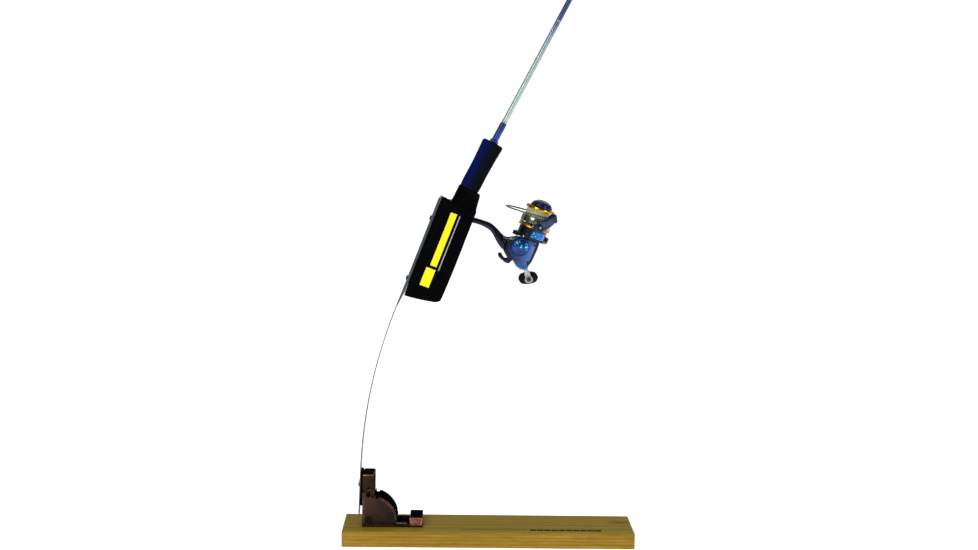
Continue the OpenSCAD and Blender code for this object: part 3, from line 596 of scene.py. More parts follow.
# ---------------------------------------------------------------- mesh helpers
def circle(n, power=1.0):
    """Cosine and sine at n even steps round; a power below 1 squares the circle off."""
    turns = [2 * pi * k / n for k in range(n)]
    pairs = [(cos(a), sin(a)) for a in turns]
    return [(copysign(abs(c) ** power, c), copysign(abs(s) ** power, s)) for c, s in pairs]


def clamp(x):
    return min(1, max(0, x))


def place(name, data, at):
    o = bpy.data.objects.new(name, data)
    scene.collection.objects.link(o)
    o.matrix_world = at
    return o


def build(name, verts, faces, at=WORLD, sharp=60):
    """A mesh from points in mm of frame at. Faces turn outward; edges over sharp degrees stay crisp."""
    me = bpy.data.meshes.new(name)
    me.from_pydata([Vector(v) * MM for v in verts], [], faces)
    bm = bmesh.new()
    bm.from_mesh(me)
    bmesh.ops.recalc_face_normals(bm, faces=bm.faces)
    bm.to_mesh(me)
    bm.free()
    me.shade_smooth()
    if sharp < 180:
        me.set_sharp_from_angle(angle=rad(sharp))
    return place(name, me, at)


def own(o, finish, body, slot, *replaced, edge=None):
    """Gives a piece its material and body, and hides the CAD nodes it stands for. The slot argument is not
    used.
    """
    o.data.materials.append(FINISHES[finish])
    if edge:
        o.data.materials.append(FINISHES[edge])
    if body:
        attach(o, body)
    if replaced:
        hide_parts(*replaced)
    return o


def piece(name, shape, finish, body, slot, *replaced, at=WORLD, sharp=60, edge=None):
    """A mesh piece with its material and body, the CAD nodes it stands for hidden. The slot argument is not
    used.
    """
    return own(build(name, *shape, at, sharp), finish, body, slot, *replaced, edge=edge)


def soften(o, width, segments=2, angle=32, edge_slot=None, merge=True):
    """Rounds the edges of a hard part with modifiers, which leave its own mesh as it is."""
    if merge:
        weld = o.modifiers.new("weld", "WELD")
        weld.merge_threshold = 1e-6
    b = o.modifiers.new("edges", "BEVEL")
    b.width, b.segments, b.limit_method, b.angle_limit = width * MM, segments, "ANGLE", rad(angle)
    b.use_clamp_overlap, b.harden_normals, b.miter_outer = True, True, "MITER_ARC"
    if edge_slot is not None:
        b.material = edge_slot
    return o


def revolve(profile, n=72, closed=False):
    """Turns (radius, height) points about z. A closed profile makes a ring; radius 0 makes a pole."""
    verts, rows = [], []
    for r, h in profile:
        if r < 1e-6:
            rows.append([len(verts)])
            verts.append((0, 0, h))
        else:
            rows.append(list(range(len(verts), len(verts) + n)))
            verts += [(r * c, r * s, h) for c, s in circle(n)]
    faces = []
    for a, b in list(zip(rows, rows[1:])) + ([(rows[-1], rows[0])] if closed else []):
        for k in range(n):
            j = (k + 1) % n
            if len(a) == 1 and len(b) > 1:
                faces.append((a[0], b[j], b[k]))
            elif len(b) == 1 and len(a) > 1:
                faces.append((a[k], a[j], b[0]))
            elif len(a) > 1:
                faces.append((a[k], a[j], b[j], b[k]))
    return verts, faces


def rounded(points, r, steps):
    """A 2D outline with each corner rounded to r, or to a given third value of its point."""
    out, n = [], len(points)
    for i, p in enumerate(points):
        a, b, c = Vector(points[i - 1][:2]), Vector(p[:2]), Vector(points[(i + 1) % n][:2])
        u, v = a - b, c - b
        turn = pi - u.angle(v)
        want = p[2] if len(p) > 2 else r
        if turn < 0.02 or want <= 0:
            out.append(tuple(b))
            continue
        cut = min(want * tan(turn / 2), 0.49 * u.length, 0.49 * v.length)
        radius = cut / tan(turn / 2)
        middle = b + (u.normalized() + v.normalized()).normalized() * hypot(radius, cut)
        p0, p1 = b + u.normalized() * cut, b + v.normalized() * cut
        d0, d1 = p0 - middle, p1 - middle
        for k in range(steps + 1):
            t = k / steps
            d = d0.lerp(d1, t).normalized() * radius
            out.append(tuple(middle + d))
    return out


def prism(poly, y0, y1):
    """A 2D outline in x and z, given thickness from y0 to y1."""
    n = len(poly)
    verts = [(x, y0, z) for x, z in poly] + [(x, y1, z) for x, z in poly]
    faces = [tuple(range(n)), tuple(range(2 * n - 1, n - 1, -1))]
    faces += [(k, n + k, n + (k + 1) % n, (k + 1) % n) for k in range(n)]
    return verts, faces


def loft(rings, caps=True, closed=False):
    """A skin over rings of equally many points."""
    n = len(rings[0])
    verts = [tuple(p) for r in rings for p in r]
    faces = []
    count = len(rings)
    for i in range(count if closed else count - 1):
        a, b = i * n, ((i + 1) % count) * n
        faces += [(a + k, a + (k + 1) % n, b + (k + 1) % n, b + k) for k in range(n)]
    if caps and not closed:
        faces += [tuple(range(n))[::-1], tuple(range((count - 1) * n, count * n))]
    return verts, faces


def sweep(path, size, sides, squash=1.0, flat_dir=None, closed=False):
    """A round or oval bar on a path. size is one radius or one a point; squash scales it along flat_dir."""
    pts = [Vector(p) for p in path]
    n = len(pts)
    sizes = size if hasattr(size, "__len__") else [size] * n
    tang = []
    for i in range(n):
        a = pts[(i - 1) % n] if closed else pts[max(i - 1, 0)]
        b = pts[(i + 1) % n] if closed else pts[min(i + 1, n - 1)]
        tang.append((b - a).normalized())
    side = Vector(flat_dir) if flat_dir else tang[0].orthogonal()
    rings = []
    for p, t, r in zip(pts, tang, sizes):
        side = (side - t * side.dot(t)).normalized()
        other = t.cross(side)
        rings.append([p + side * (c * r * squash) + other * (s * r) for c, s in circle(sides)])
    return loft(rings, closed=closed)


def joined(*parts):
    """Several (verts, faces) as one."""
    verts, faces = [], []
    for v, f in parts:
        base = len(verts)
        verts += list(v)
        faces += [tuple(i + base for i in q) for q in f]
    return verts, faces


def moved(part, matrix_mm):
    """(verts, faces) with its points taken through a matrix in mm."""
    return [matrix_mm @ Vector(v) for v in part[0]], part[1]


def fuse(name, parts, at, voxel, rounds):
    """Parts melted into one cast-looking closed skin."""
    o = build(name + "_raw", *joined(*parts), at=at, sharp=180)
    m = o.modifiers.new("melt", "REMESH")
    m.mode, m.voxel_size, m.use_smooth_shade = "VOXEL", voxel * MM, True
    s = o.modifiers.new("polish", "SMOOTH")
    s.factor, s.iterations = 0.5, rounds
    bpy.context.view_layer.update()
    me = bpy.data.meshes.new_from_object(o.evaluated_get(bpy.context.evaluated_depsgraph_get()))
    bpy.data.objects.remove(o)
    me.name = name
    me.materials.clear()
    me.shade_smooth()
    return place(name, me, at)


def arc(cx, cz, r, a0, a1, n):
    """Points of a circle from a0 to a1 degrees."""
    return [(cx + r * cos(rad(a0 + (a1 - a0) * k / n)), cz + r * sin(rad(a0 + (a1 - a0) * k / n)))
        for k in range(n + 1)]


def dress(node, finish, width=0.0, segments=2, edge=None):
    """A CAD node kept as it is, with its material and softened edges."""
    o = NODES[node]
    o.data.materials.clear()
    o.data.materials.append(FINISHES[finish])
    if edge:
        o.data.materials.append(FINISHES[edge])
    for p in o.data.polygons:
        p.material_index = 0
    if width:
        if o.data.attributes.get("custom_normal"):
            o.data.attributes.remove(o.data.attributes["custom_normal"])
        o.data.shade_smooth()
        soften(o, width, segments, edge_slot=1 if edge else None)
        w = o.modifiers.new("even", "WEIGHTED_NORMAL")
        w.keep_sharp, w.weight = True, 80


# ---------------------------------------------------------------- base board, bracket, arm
PIV_X, PIV_Z = -142.1, 27.3
ARC_X, ARC_Z = -140.0, 25.0


BOARD_TOP = 19.0


def make_scale_print():
    """A plain graduated bar printed on the board, with no numbers or words."""
    z = BOARD_TOP
    parts = []

    def bar(x0, x1, y0, y1):
        return prism([(x0, z - 0.2), (x1, z - 0.2), (x1, z + 0.03), (x0, z + 0.03)], y0, y1)

    for k in range(26):
        x = -33 + k * 3.0
        tall = 2.6 if k % 5 == 0 else 1.5
        parts.append(bar(x, x + 0.8, -21.2, -21.2 + tall))
    parts.append(bar(-33, 46, -21.9, -21.3))
    for k in range(10):
        x = 48.6 + k * 8.5
        parts.append(bar(x, x + 7.7, -24.0, -19.2))
    piece("scale_print", joined(*parts), "ink", "base", "oak", sharp=38)


def rib(path, width, height, y, out):
    """A low rounded bead on a cheek's face: path in x and z, standing out from y along out."""
    rings = []
    n = len(path)
    for i, (x, z) in enumerate(path):
        ax, az = path[max(i - 1, 0)]
        bx, bz = path[min(i + 1, n - 1)]
        t = Vector((bx - ax, bz - az)).normalized()
        nx, nz = -t.y, t.x
        end = 0.55 if i in (0, n - 1) else 1.0
        ring = []
        for k in range(9):
            a = pi * k / 8
            w, h = cos(a) * width / 2 * end, sin(a) ** 0.7 * height * end
            ring.append((x + nx * w, y + out * (h - 0.02), z + nz * w))
        ring.append((x - nx * width / 2 * end, y - out * 0.4, z - nz * width / 2 * end))
        ring.append((x + nx * width / 2 * end, y - out * 0.4, z + nz * width / 2 * end))
        rings.append(ring)
    return loft(rings)


def make_cheek_beads():
    parts, bosses = [], []
    for y, out in ((-15.0, -1), (15.0, 1)):
        parts.append(rib([(-147.3, 21.0 + k * 3.6) for k in range(11)], 3.4, 0.55, y, out))
        parts.append(rib(arc(ARC_X, ARC_Z, 30.5, 66, 4, 22), 2.6, 0.5, y, out))
        parts.append(rib([(-146.0 + k * 3.6, 20.6) for k in range(11)], 1.6, 0.4, y, out))
        # a shallow boss round the pivot
        turn = 90 if out < 0 else -90
        boss = revolve([(3.75, -0.4), (5.6, -0.4), (5.6, 0.25), (5.2, 0.5), (4.2, 0.5), (3.75, 0.3)], 48,
            True)
        bosses.append(moved(boss, shift(PIV_X, y, PIV_Z) @ about("X", turn)))
    piece("cheek_beads", joined(*parts), "copper_wear_and_highlight", "base", "copper")
    piece("pivot_bosses", joined(*bosses), "copper", "base", "copper")
    # the lip round the top of the arm: a bright bead that is a painted highlight along its top front edge
    lip = []
    x0, x1, z, half = PIV_X - 6.5, PIV_X + 6.5, PIV_Z + 53.6, 12.2
    for y in (-half, half):
        lip.append(sweep([(x0, y, z), (x0 + 1.5, y, z + 0.15), (x1 - 1.5, y, z + 0.15), (x1, y, z)],
            [0.45, 0.62, 0.62, 0.45], 12))
    piece("arm_highlight_lip", joined(*lip), "arm_edge_highlight", "arm", "arm_brown", sharp=180)


def make_block():
    """The end block: a cast bar with a sunk panel in its front and back."""
    x0, x1, z0, z1 = -93.4, -78.0, 20.9, 30.3
    poly = rounded([(x0, z0, 0), (x1, z0, 0), (x1, z1, 0.9), (x0, z1, 1.4)], 1, 3)
    cx, cz = (x0 + x1) / 2, (z0 + z1) / 2

    def ring(y, dx, dz):
        sx, sz = 1 - 2 * dx / (x1 - x0), 1 - 2 * dz / (z1 - z0)
        return [(cx + (x - cx) * sx, y, cz + (z - cz) * sz) for x, z in poly]

    steps = [(-14.6, 3.1, 2.4), (-14.7, 2.4, 1.9), (-15.2, 1.9, 1.5), (-15.35, 1.6, 1.3),
        (-15.35, 0.5, 0.4), (-15.1, 0.1, 0.1), (-14.6, 0.0, 0.0)]
    rings = [ring(y, dx, dz) for y, dx, dz in steps] + [ring(-y, dx, dz) for y, dx, dz in reversed(steps)]
    o = piece("end_block_cast", loft(rings), "block", "base", "copper", "end_block", sharp=50,
        edge="block_rim_highlight")
    # faces of the raised rim round the sunk panel take the second slot, a painted highlight
    for p in o.data.polygons:
        c = p.center
        rim = abs(abs(c.y) - 15.2 * MM) < 0.35 * MM and abs(c.z - cz * MM) < 5 * MM
        p.material_index = 1 if rim else 0


def make_spring():
    z0, z1 = 65.3 + 1.15, 82.1 - 3.25
    turns, n = 6.5, 150
    path = []
    for k in range(n + 1):
        a = 2 * pi * turns * k / n
        t = k / n
        h = 0.4 + (z1 - z0 - 0.8) * clamp((t - 0.08) / 0.84)
        path.append((PIV_X + 2.5 * cos(a), 2.5 * sin(a), z0 + h))
    piece("lock_coil", sweep(path, 0.38, 8), "steel", "arm", "bright_steel", "lock_spring", sharp=180)


def make_blade():
    """The leaf: one strip from its free tail, up the loaded bend, to the top of the holder."""
    half, w = 0.6, 9.5
    section = [(-half, -w + 0.35), (-half * 0.5, -w), (half * 0.5, -w), (half, -w + 0.35), (half, w - 0.35),
        (half * 0.5, w), (-half * 0.5, w), (-half, w - 0.35)]
    a0, a1 = rad(1.92), rad(HOLDER_LEAN)
    radius, z_bend, x_bend = 587.7, 86.0, -151.87
    line = []
    for k in range(16):
        z = 30.6 + (z_bend - 30.6) * k / 15
        line.append((x_bend - (z_bend - z) * tan(a0), z, a0))
    for k in range(1, 73):
        a = a0 + (a1 - a0) * k / 72
        line.append((x_bend + radius * (cos(a0) - cos(a)), z_bend + radius * (sin(a) - sin(a0)), a))
    # straight on from the bend's upper end, which is point 87
    x_top, z_top, _ = line[87]
    top = HOLDER @ Vector((0, 0, 119 * MM)) / MM
    for k in range(1, 31):
        t = k / 30
        line.append((x_top + (top.x - x_top) * t, z_top + (top.z - z_top) * t, a1))
    rings = []
    count = len(line)
    for i, (x, z, a) in enumerate(line):
        narrow = 1.0
        if i < 3:
            narrow = (0.86, 0.95, 0.99)[i]
        if i > count - 3:
            narrow = (0.95, 0.86)[i - count + 2]
        rings.append([(x + v * cos(a), y * narrow, z - v * sin(a)) for v, y in section])
    o = piece("blade_leaf", loft(rings), "blade", None, "spring_steel", "spring_blade", sharp=30)
    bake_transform(o)


make_scale_print()
make_cheek_beads()
make_block()
make_spring()
make_blade()
# the bracket's bevels take the second slot: rubbed patina with a painted highlight
dress("bracket", "copper", 0.45, edge="copper_wear_and_highlight")
dress("swing_arm", "arm", 0.6, 3)
for kept in (("base_board", "oak", 0.5), ("bracket_screws", "dark", 0.12), ("pivot_pin", "dark", 0.4),
        ("blade_pad", "pad", 0.3), ("blade_screws", "pad", 0.15), ("lock_pin", "pin", 0.25)):
    dress(*kept)

# ---------------------------------------------------------------- holder
SLEEVE_HALF = 16.3


def panel(v, u):
    """How far a side panel of the sleeve swells out at (v, u), with the soft ripples of sewn nylon."""
    a = max(0.0, sin(pi * clamp((v - 4) / 40.5)))
    b = max(0.0, sin(pi * clamp((u + 2) / 125)))
    slow = noise.noise(Vector((v * 0.055, u * 0.035, 3.1)))
    quick = noise.noise(Vector((v * 0.16, u * 0.09, 9.7)))
    ripple = slow * 0.9 + quick * 0.28
    return (a ** 0.6) * (b ** 0.5) * (0.7 + ripple * 0.7)


def sleeve_ring(u, grow=0.0):
    """The sleeve's outline at height u: four sewn panels with tight corners. grow is outward, in mm."""
    v0, v1, y1, r = 2.95, 45.35, SLEEVE_HALF, 5.0
    bottom = max(0.0, 1 - max(0.0, u) / 14.0)
    v0, v1 = v0 + bottom * 0.4, v1 - bottom ** 2 * 0.8
    pts = []
    corners = [((v1 - r, -y1 + r), -90), ((v1 - r, y1 - r), 0), ((v0 + r * 0.5, y1 - r * 0.5), 90),
        ((v0 + r * 0.5, -y1 + r * 0.5), 180)]
    radii = [r, r, r * 0.5, r * 0.5]
    path = []
    for ((cv, cy), a), rr in zip(corners, radii):
        for k in range(7):
            g = rad(a + 90 * k / 6)
            path.append((cv + rr * cos(g), cy + rr * sin(g), cos(g), sin(g)))
    dense = []
    m = len(path)
    for i in range(m):
        p, q = path[i], path[(i + 1) % m]
        long = hypot(q[0] - p[0], q[1] - p[1])
        steps = max(1, round(long / 1.6))
        for k in range(steps):
            t = k / steps
            dense.append(tuple(p[j] + (q[j] - p[j]) * t for j in range(4)))
    for v, y, nv, ny in dense:
        swell = panel(v, u) * abs(ny) ** 2
        drift = 0.6 + noise.noise(Vector((y * .1, u * .05, 1.0)))
        back = max(0.0, nv) ** 2 * 0.5 * sin(pi * clamp(u / 121)) * drift
        d = grow + (swell + back)
        if nv < -0.7:
            d = min(d, 0.0) if grow >= 0 else grow
        pts.append((v + nv * d, y + ny * d, u))
    return pts


def hem_rise(v):
    """How far the bottom hem is drawn up: it climbs toward the reel side and turns up at the corner."""
    t = clamp((v - 3) / 42.0)
    return 7.0 * t - 0.9 * sin(pi * t) + 1.6 * max(0.0, t - 0.86) / 0.14


def make_sleeve():
    """Outer wall, hem at the mouth, inner wall and the sewn-in floor, in one closed skin."""
    inner = -1.4
    levels = [0.35, 0.9, 1.8, 3.5] + [6 + k * 3.9 for k in range(29)] + [117.3, 119.2, 120.2]
    rings = [sleeve_ring(0.9, -1.6), sleeve_ring(0.35, -0.8)]
    rings += [sleeve_ring(u) for u in levels[1:]]
    rings.append(sleeve_ring(120.8, -0.35))
    rings.append(sleeve_ring(120.8, -1.0))
    rings += [sleeve_ring(u, inner) for u in reversed(levels[4:])]
    rings.append(sleeve_ring(3.2, inner))
    n = len(rings[0])
    verts, faces = loft(rings, caps=False)
    # floor: the bottom edge sags in a shallow curve
    for ring, z in ((0, 0.0), (len(rings) - 1, 3.0)):
        idx = [ring * n + k for k in range(n)]
        cx = sum(verts[i][0] for i in idx) / n
        centre = len(verts)
        verts.append((cx, 0, z - 0.6 if ring == 0 else z))
        mid = []
        for i in idx:
            v = verts[i]
            mid.append(len(verts))
            sag = 0.35 if ring == 0 else 0
            verts.append((cx + (v[0] - cx) * 0.6, v[1] * 0.6, v[2] + (z - v[2]) * 0.5 - sag))
        for k in range(n):
            j = (k + 1) % n
            faces.append((idx[k], idx[j], mid[j], mid[k]))
            faces.append((mid[k], mid[j], centre))
    bow = [(x, y, z + hem_rise(x) * max(0, 1 - z / 44)) for x, y, z in verts]
    # the reel's stem leaves through a slit in the front wall, turned in all round
    top = len(levels)
    low = next(m for m in range(top) if levels[m] > 97)
    ref = rings[low + 1]
    pairs = [(ref[k], ref[(k + 1) % n]) for k in range(n)]
    cols = [k for k, (p, q) in enumerate(pairs) if (p[0] + q[0]) / 2 > 41 and abs(p[1] + q[1]) / 2 < 5.0]
    while (cols[0] - 1) % n in cols:
        cols = [cols[-1]] + cols[:-1]
    last_in = 2 * top + 2 - low

    def cut(face):
        where = {i // n for i in face}
        return (max(face) < len(rings) * n and min(where) >= low + 1 and max(where) <= last_in
            and len(where) == 2 and any({i % n for i in face} == {k, (k + 1) % n} for k in cols))

    faces = [f for f in faces if not cut(f)]
    for k in cols:
        j = (k + 1) % n
        faces.append(((low + 1) * n + k, (low + 1) * n + j, last_in * n + j, last_in * n + k))
    for k in (cols[0], (cols[-1] + 1) % n):
        for m in range(low, top - 1):
            faces.append(((m + 1) * n + k, (m + 2) * n + k, (2 * top + 1 - m) * n + k, (2 * top + 2 - m)
                * n + k))
        faces.append((top * n + k, (top + 1) * n + k, (top + 2) * n + k, (top + 3) * n + k))
    o = piece("sleeve_shell", (bow, faces), "weave", "holder", "black_fabric", "sleeve", at=HOLDER,
        sharp=70)


def seam(points, name):
    """A row of stitches along points of the holder's frame: short beads with gaps."""
    parts = []
    pts = [Vector(p) for p in points]
    for a, b in zip(pts, pts[1:]):
        d = b - a
        p0, p1 = a + d * 0.14, a + d * 0.86
        out = [p0, p0.lerp(p1, 0.25), p0.lerp(p1, 0.75), p1]
        parts.append(sweep(out, [0.16, 0.27, 0.27, 0.16], 6))
    piece(name, joined(*parts), "thread", "holder", "black_fabric", at=HOLDER, sharp=180)


def on_front(v, u, lift):
    """A point on the sleeve's near panel, standing lift mm off it."""
    return (v, -SLEEVE_HALF - panel(v, u) - lift, u)


def make_print_panel(name, v0, v1, u0, u1, finish, nv=6, nu=40):
    """Ink on the near panel: a thin closed skin that follows its swell."""
    verts, faces = [], []
    for lift in (0.1, -0.15):
        for i in range(nu + 1):
            for k in range(nv + 1):
                verts.append(on_front(v0 + (v1 - v0) * k / nv, u0 + (u1 - u0) * i / nu, lift))
    size = (nu + 1) * (nv + 1)
    row = nv + 1
    for i in range(nu):
        for k in range(nv):
            a = i * row + k
            faces.append((a, a + 1, a + row + 1, a + row))
            faces.append((size + a, size + a + row, size + a + row + 1, size + a + 1))
    edge = [k for k in range(nv)] + [i * row + nv for i in range(nu)]
    edge += [nu * row + nv - k for k in range(nv)] + [(nu - i) * row for i in range(nu)]
    for a, b in zip(edge, edge[1:] + edge[:1]):
        faces.append((a, b, size + b, size + a))
    piece(name, (verts, faces), finish, "holder", "black_fabric", at=HOLDER, sharp=50)


def make_neck():
    """The collar above the sleeve: it draws in from the sleeve's mouth to a band round the grip."""
    to_holder = HOLDER.inverted() @ ROD
    n = 64

    def low(u, v0, v1, y1, grow):
        cv, hv = (v0 + v1) / 2, (v1 - v0) / 2
        return [Vector((cv + c * (hv + grow), s * (y1 + grow), u)) for c, s in circle(n, 0.42)]

    def high(u, r, x, stretch):
        points = [Vector((x + r * stretch * c, r * s, u)) for c, s in circle(n)]
        return [to_holder @ (p * MM) / MM for p in points]

    outer_low, outer_high = low(112.0, 13.4, 45.6, 16.0, 0.2), high(118.6, 12.7, 1.5, 1.06)
    rings = [outer_low]
    for k in range(1, 14):
        t = k / 13
        w = t * t * (3 - 2 * t)
        ring = []
        for a, b in zip(outer_low, outer_high):
            p = a.lerp(b, 0.35 * w + 0.65 * t)
            fold = noise.noise(Vector((p.x * 0.13, p.y * 0.13, p.z * 0.08))) * 0.55 * sin(pi * t)
            c = Vector((29, 0, p.z))
            ring.append(p + (p - c).normalized() * fold)
        rings.append(ring)
    for spot in ((119.7, 12.2, 1.4, 1.05), (119.8, 11.8, 1.2, 1.03), (116.0, 11.75, 1.0, 1.02),
            (108.0, 12.0, 1.0, 1.05)):
        rings.append(high(*spot))
    rings.append(low(112.5, 14.8, 44.2, 14.6, 0.0))
    o = piece("neck_collar", loft(rings, closed=True), "weave", "holder", "black_fabric", "neck_band",
        at=HOLDER, sharp=70)
    # the hem of the collar
    hem = high(117.4, 12.9, 1.6, 1.06)
    piece("neck_hem", sweep([tuple(p) for p in hem], 0.4, 8, closed=True), "binding", "holder",
        "black_fabric", at=HOLDER, sharp=180)


def make_flap():
    """The hook-and-loop flap on the far side: a folded strip with a sewn border."""
    v0, v1, u0, u1 = 10.8, 37.5, 12.0, 112.0
    outline = rounded([(v0, u0), (v1, u0), (v1, u1), (v0, u1)], 5, 5)
    cv, cu = (v0 + v1) / 2, (u0 + u1) / 2
    rings = []
    for inset, lift in ((0.9, 0.15), (0.0, 0.2), (0.0, 1.3), (0.7, 1.75), (3.0, 1.7), (3.6, 1.45),
            (4.4, 1.7), (9.0, 1.75)):
        ring = []
        for v, u in outline:
            sv, su = 1 - 2 * inset / (v1 - v0), 1 - 2 * inset / (u1 - u0)
            vv, uu = cv + (v - cv) * sv, cu + (u - cu) * su
            ring.append((vv, 16.45 + panel(vv, uu) + lift, uu))
        rings.append(ring)
    o = piece("closure_strap", loft(rings), "binding", "holder", "black_fabric", "closure_flap", at=HOLDER)


def make_grip():
    """Foam grip: slightly waisted under the collar, rounded shoulders."""
    prof = [(3.45, 7.4), (9.2, 7.4), (9.75, 8.0)]
    prof += [(9.85, 8 + k * 4.0) for k in range(1, 10)]
    prof += [(10.2, 47), (10.9, 49.5), (11.35, 51.5)]
    for k in range(44):
        s = 53 + k * 2.9
        prof.append((11.5 + 0.09 * sin(s * 0.21) - 0.5 * exp(-((s - 119) / 4.0) ** 2), s))
    prof = [(r + 0.9 * clamp((s - 150) / 20) ** 2, s) for r, s in prof if s < 174]
    prof += [(12.6, 174.2), (12.7, 176.2), (12.4, 177.8), (11.6, 179.0), (10.2, 179.5), (8.2, 179.4),
        (6.4, 179.5), (5.0, 180.2), (3.45, 180.5)]
    o = piece("grip_foam_body", revolve(prof, 64, True), "foam", "holder", "grip_foam", "handle_grip",
        at=ROD, sharp=55)


# the rod leaves the photograph at ROD_SEEN; its whole length is a guess
ROD_SEEN, ROD_LENGTH = 361, 914


def make_rod_trim():
    """Lacquered thread over the blank at the grip, trim bands where its finish changes, and guide inserts."""
    prof = [(3.33, 182.6), (3.75, 183.2)]
    for k in range(56):
        prof.append((3.78 + 0.025 * sin(k * pi / 2), 183.6 + k * 0.36))
    prof += [(3.7, 204.2), (3.2, 204.7)]
    piece("butt_winding", revolve(prof + [(2.9, 204.7), (2.9, 182.6)], 36, True), "wrap", "holder", "wrap",
        at=ROD, sharp=80)
    parts = []
    for s in (206.4, 207.6, 334.0, 335.2):
        r = 3.3 - 0.4 * s / ROD_SEEN
        parts.append(revolve([(r - 0.2, s - 0.3), (r + 0.06, s - 0.3), (r + 0.1, s), (r + 0.06, s + 0.3),
            (r - 0.2, s + 0.3)], 36, True))
    piece("trim_bands", joined(*parts), "silver", "holder", "bright_steel", at=ROD, sharp=80)
    rings = []
    for s, r0 in zip((415, 560, 690, 805), (9, 6.5, 5, 4)):
        b = 2.9 - 2.0 * (s - 10 - ROD_SEEN) / (ROD_LENGTH - ROD_SEEN)
        x = b + 2.2 + r0 + r0 * 0.8
        ring = revolve([(r0 - 1.25, -0.75), (r0 - 1.0, -1.05), (r0 - 1.0, 1.05), (r0 - 1.25, 0.75),
            (r0 - 1.75, 0)], 48, True)
        rings.append(moved(ring, shift(x, 0, s)))
    piece("guide_inserts", joined(*rings), "plastic", "holder", "black_plastic", at=ROD)


make_sleeve()
make_print_panel("yellow_stripe", 18.3, 25.9, 44.5, 109.6, "yellow")
make_print_panel("yellow_block", 15.2, 26.4, 19.0, 41.0, "yellow", 8, 12)
make_print_panel("white_line", 28.9, 30.1, 41.6, 109.2, "white", 2)
seam([on_front(7.5, 4 + k * 2.6, 0.05) for k in range(45)], "seam_near_left")
seam([on_front(41.5, 12 + k * 2.6, 0.05) for k in range(33)], "seam_near_right")
seam([on_front(8 + k * 2.6, 116.0, 0.05) for k in range(3)], "seam_near_top")
seam([on_front(8 + k * 2.6, 3.6 + hem_rise(8 + k * 2.6), 0.05) for k in range(13)], "seam_near_bottom")
make_neck()
make_flap()
make_grip()
make_rod_trim()
for kept in (("backing_bar", "bar", 0.35), ("holder_rivets", "dark", 0.2), ("rivet_washers", "steel", 0.08),
        ("rod_blank", "blank"), ("butt_cap", "rubber", 0.3), ("slide_rings", "steel", 0.25),
        ("winding_check", "wrap", 0.2), ("guide_1", "guide"), ("guide_2", "guide"), ("guide_3", "guide"),
        ("guide_4", "guide"), ("tip_top", "guide"), ("guide_wraps", "wrap", 0.2)):
    dress(*kept)


# ---------------------------------------------------------------- reel body
def between(stations, steps):
    """Smooths a list of number tuples with Catmull-Rom points between them."""
    out = []
    n = len(stations)
    for i in range(n - 1):
        p = [stations[max(i - 1, 0)], stations[i], stations[i + 1], stations[min(i + 2, n - 1)]]
        for k in range(steps):
            t = k / steps
            out.append(tuple(0.5 * (2 * b + (c - a) * t + (2 * a - 5 * b + 4 * c - d) * t * t
                + (3 * b - a - 3 * c + d) * t ** 3) for a, b, c, d in zip(*p)))
    out.append(tuple(stations[-1]))
    return out


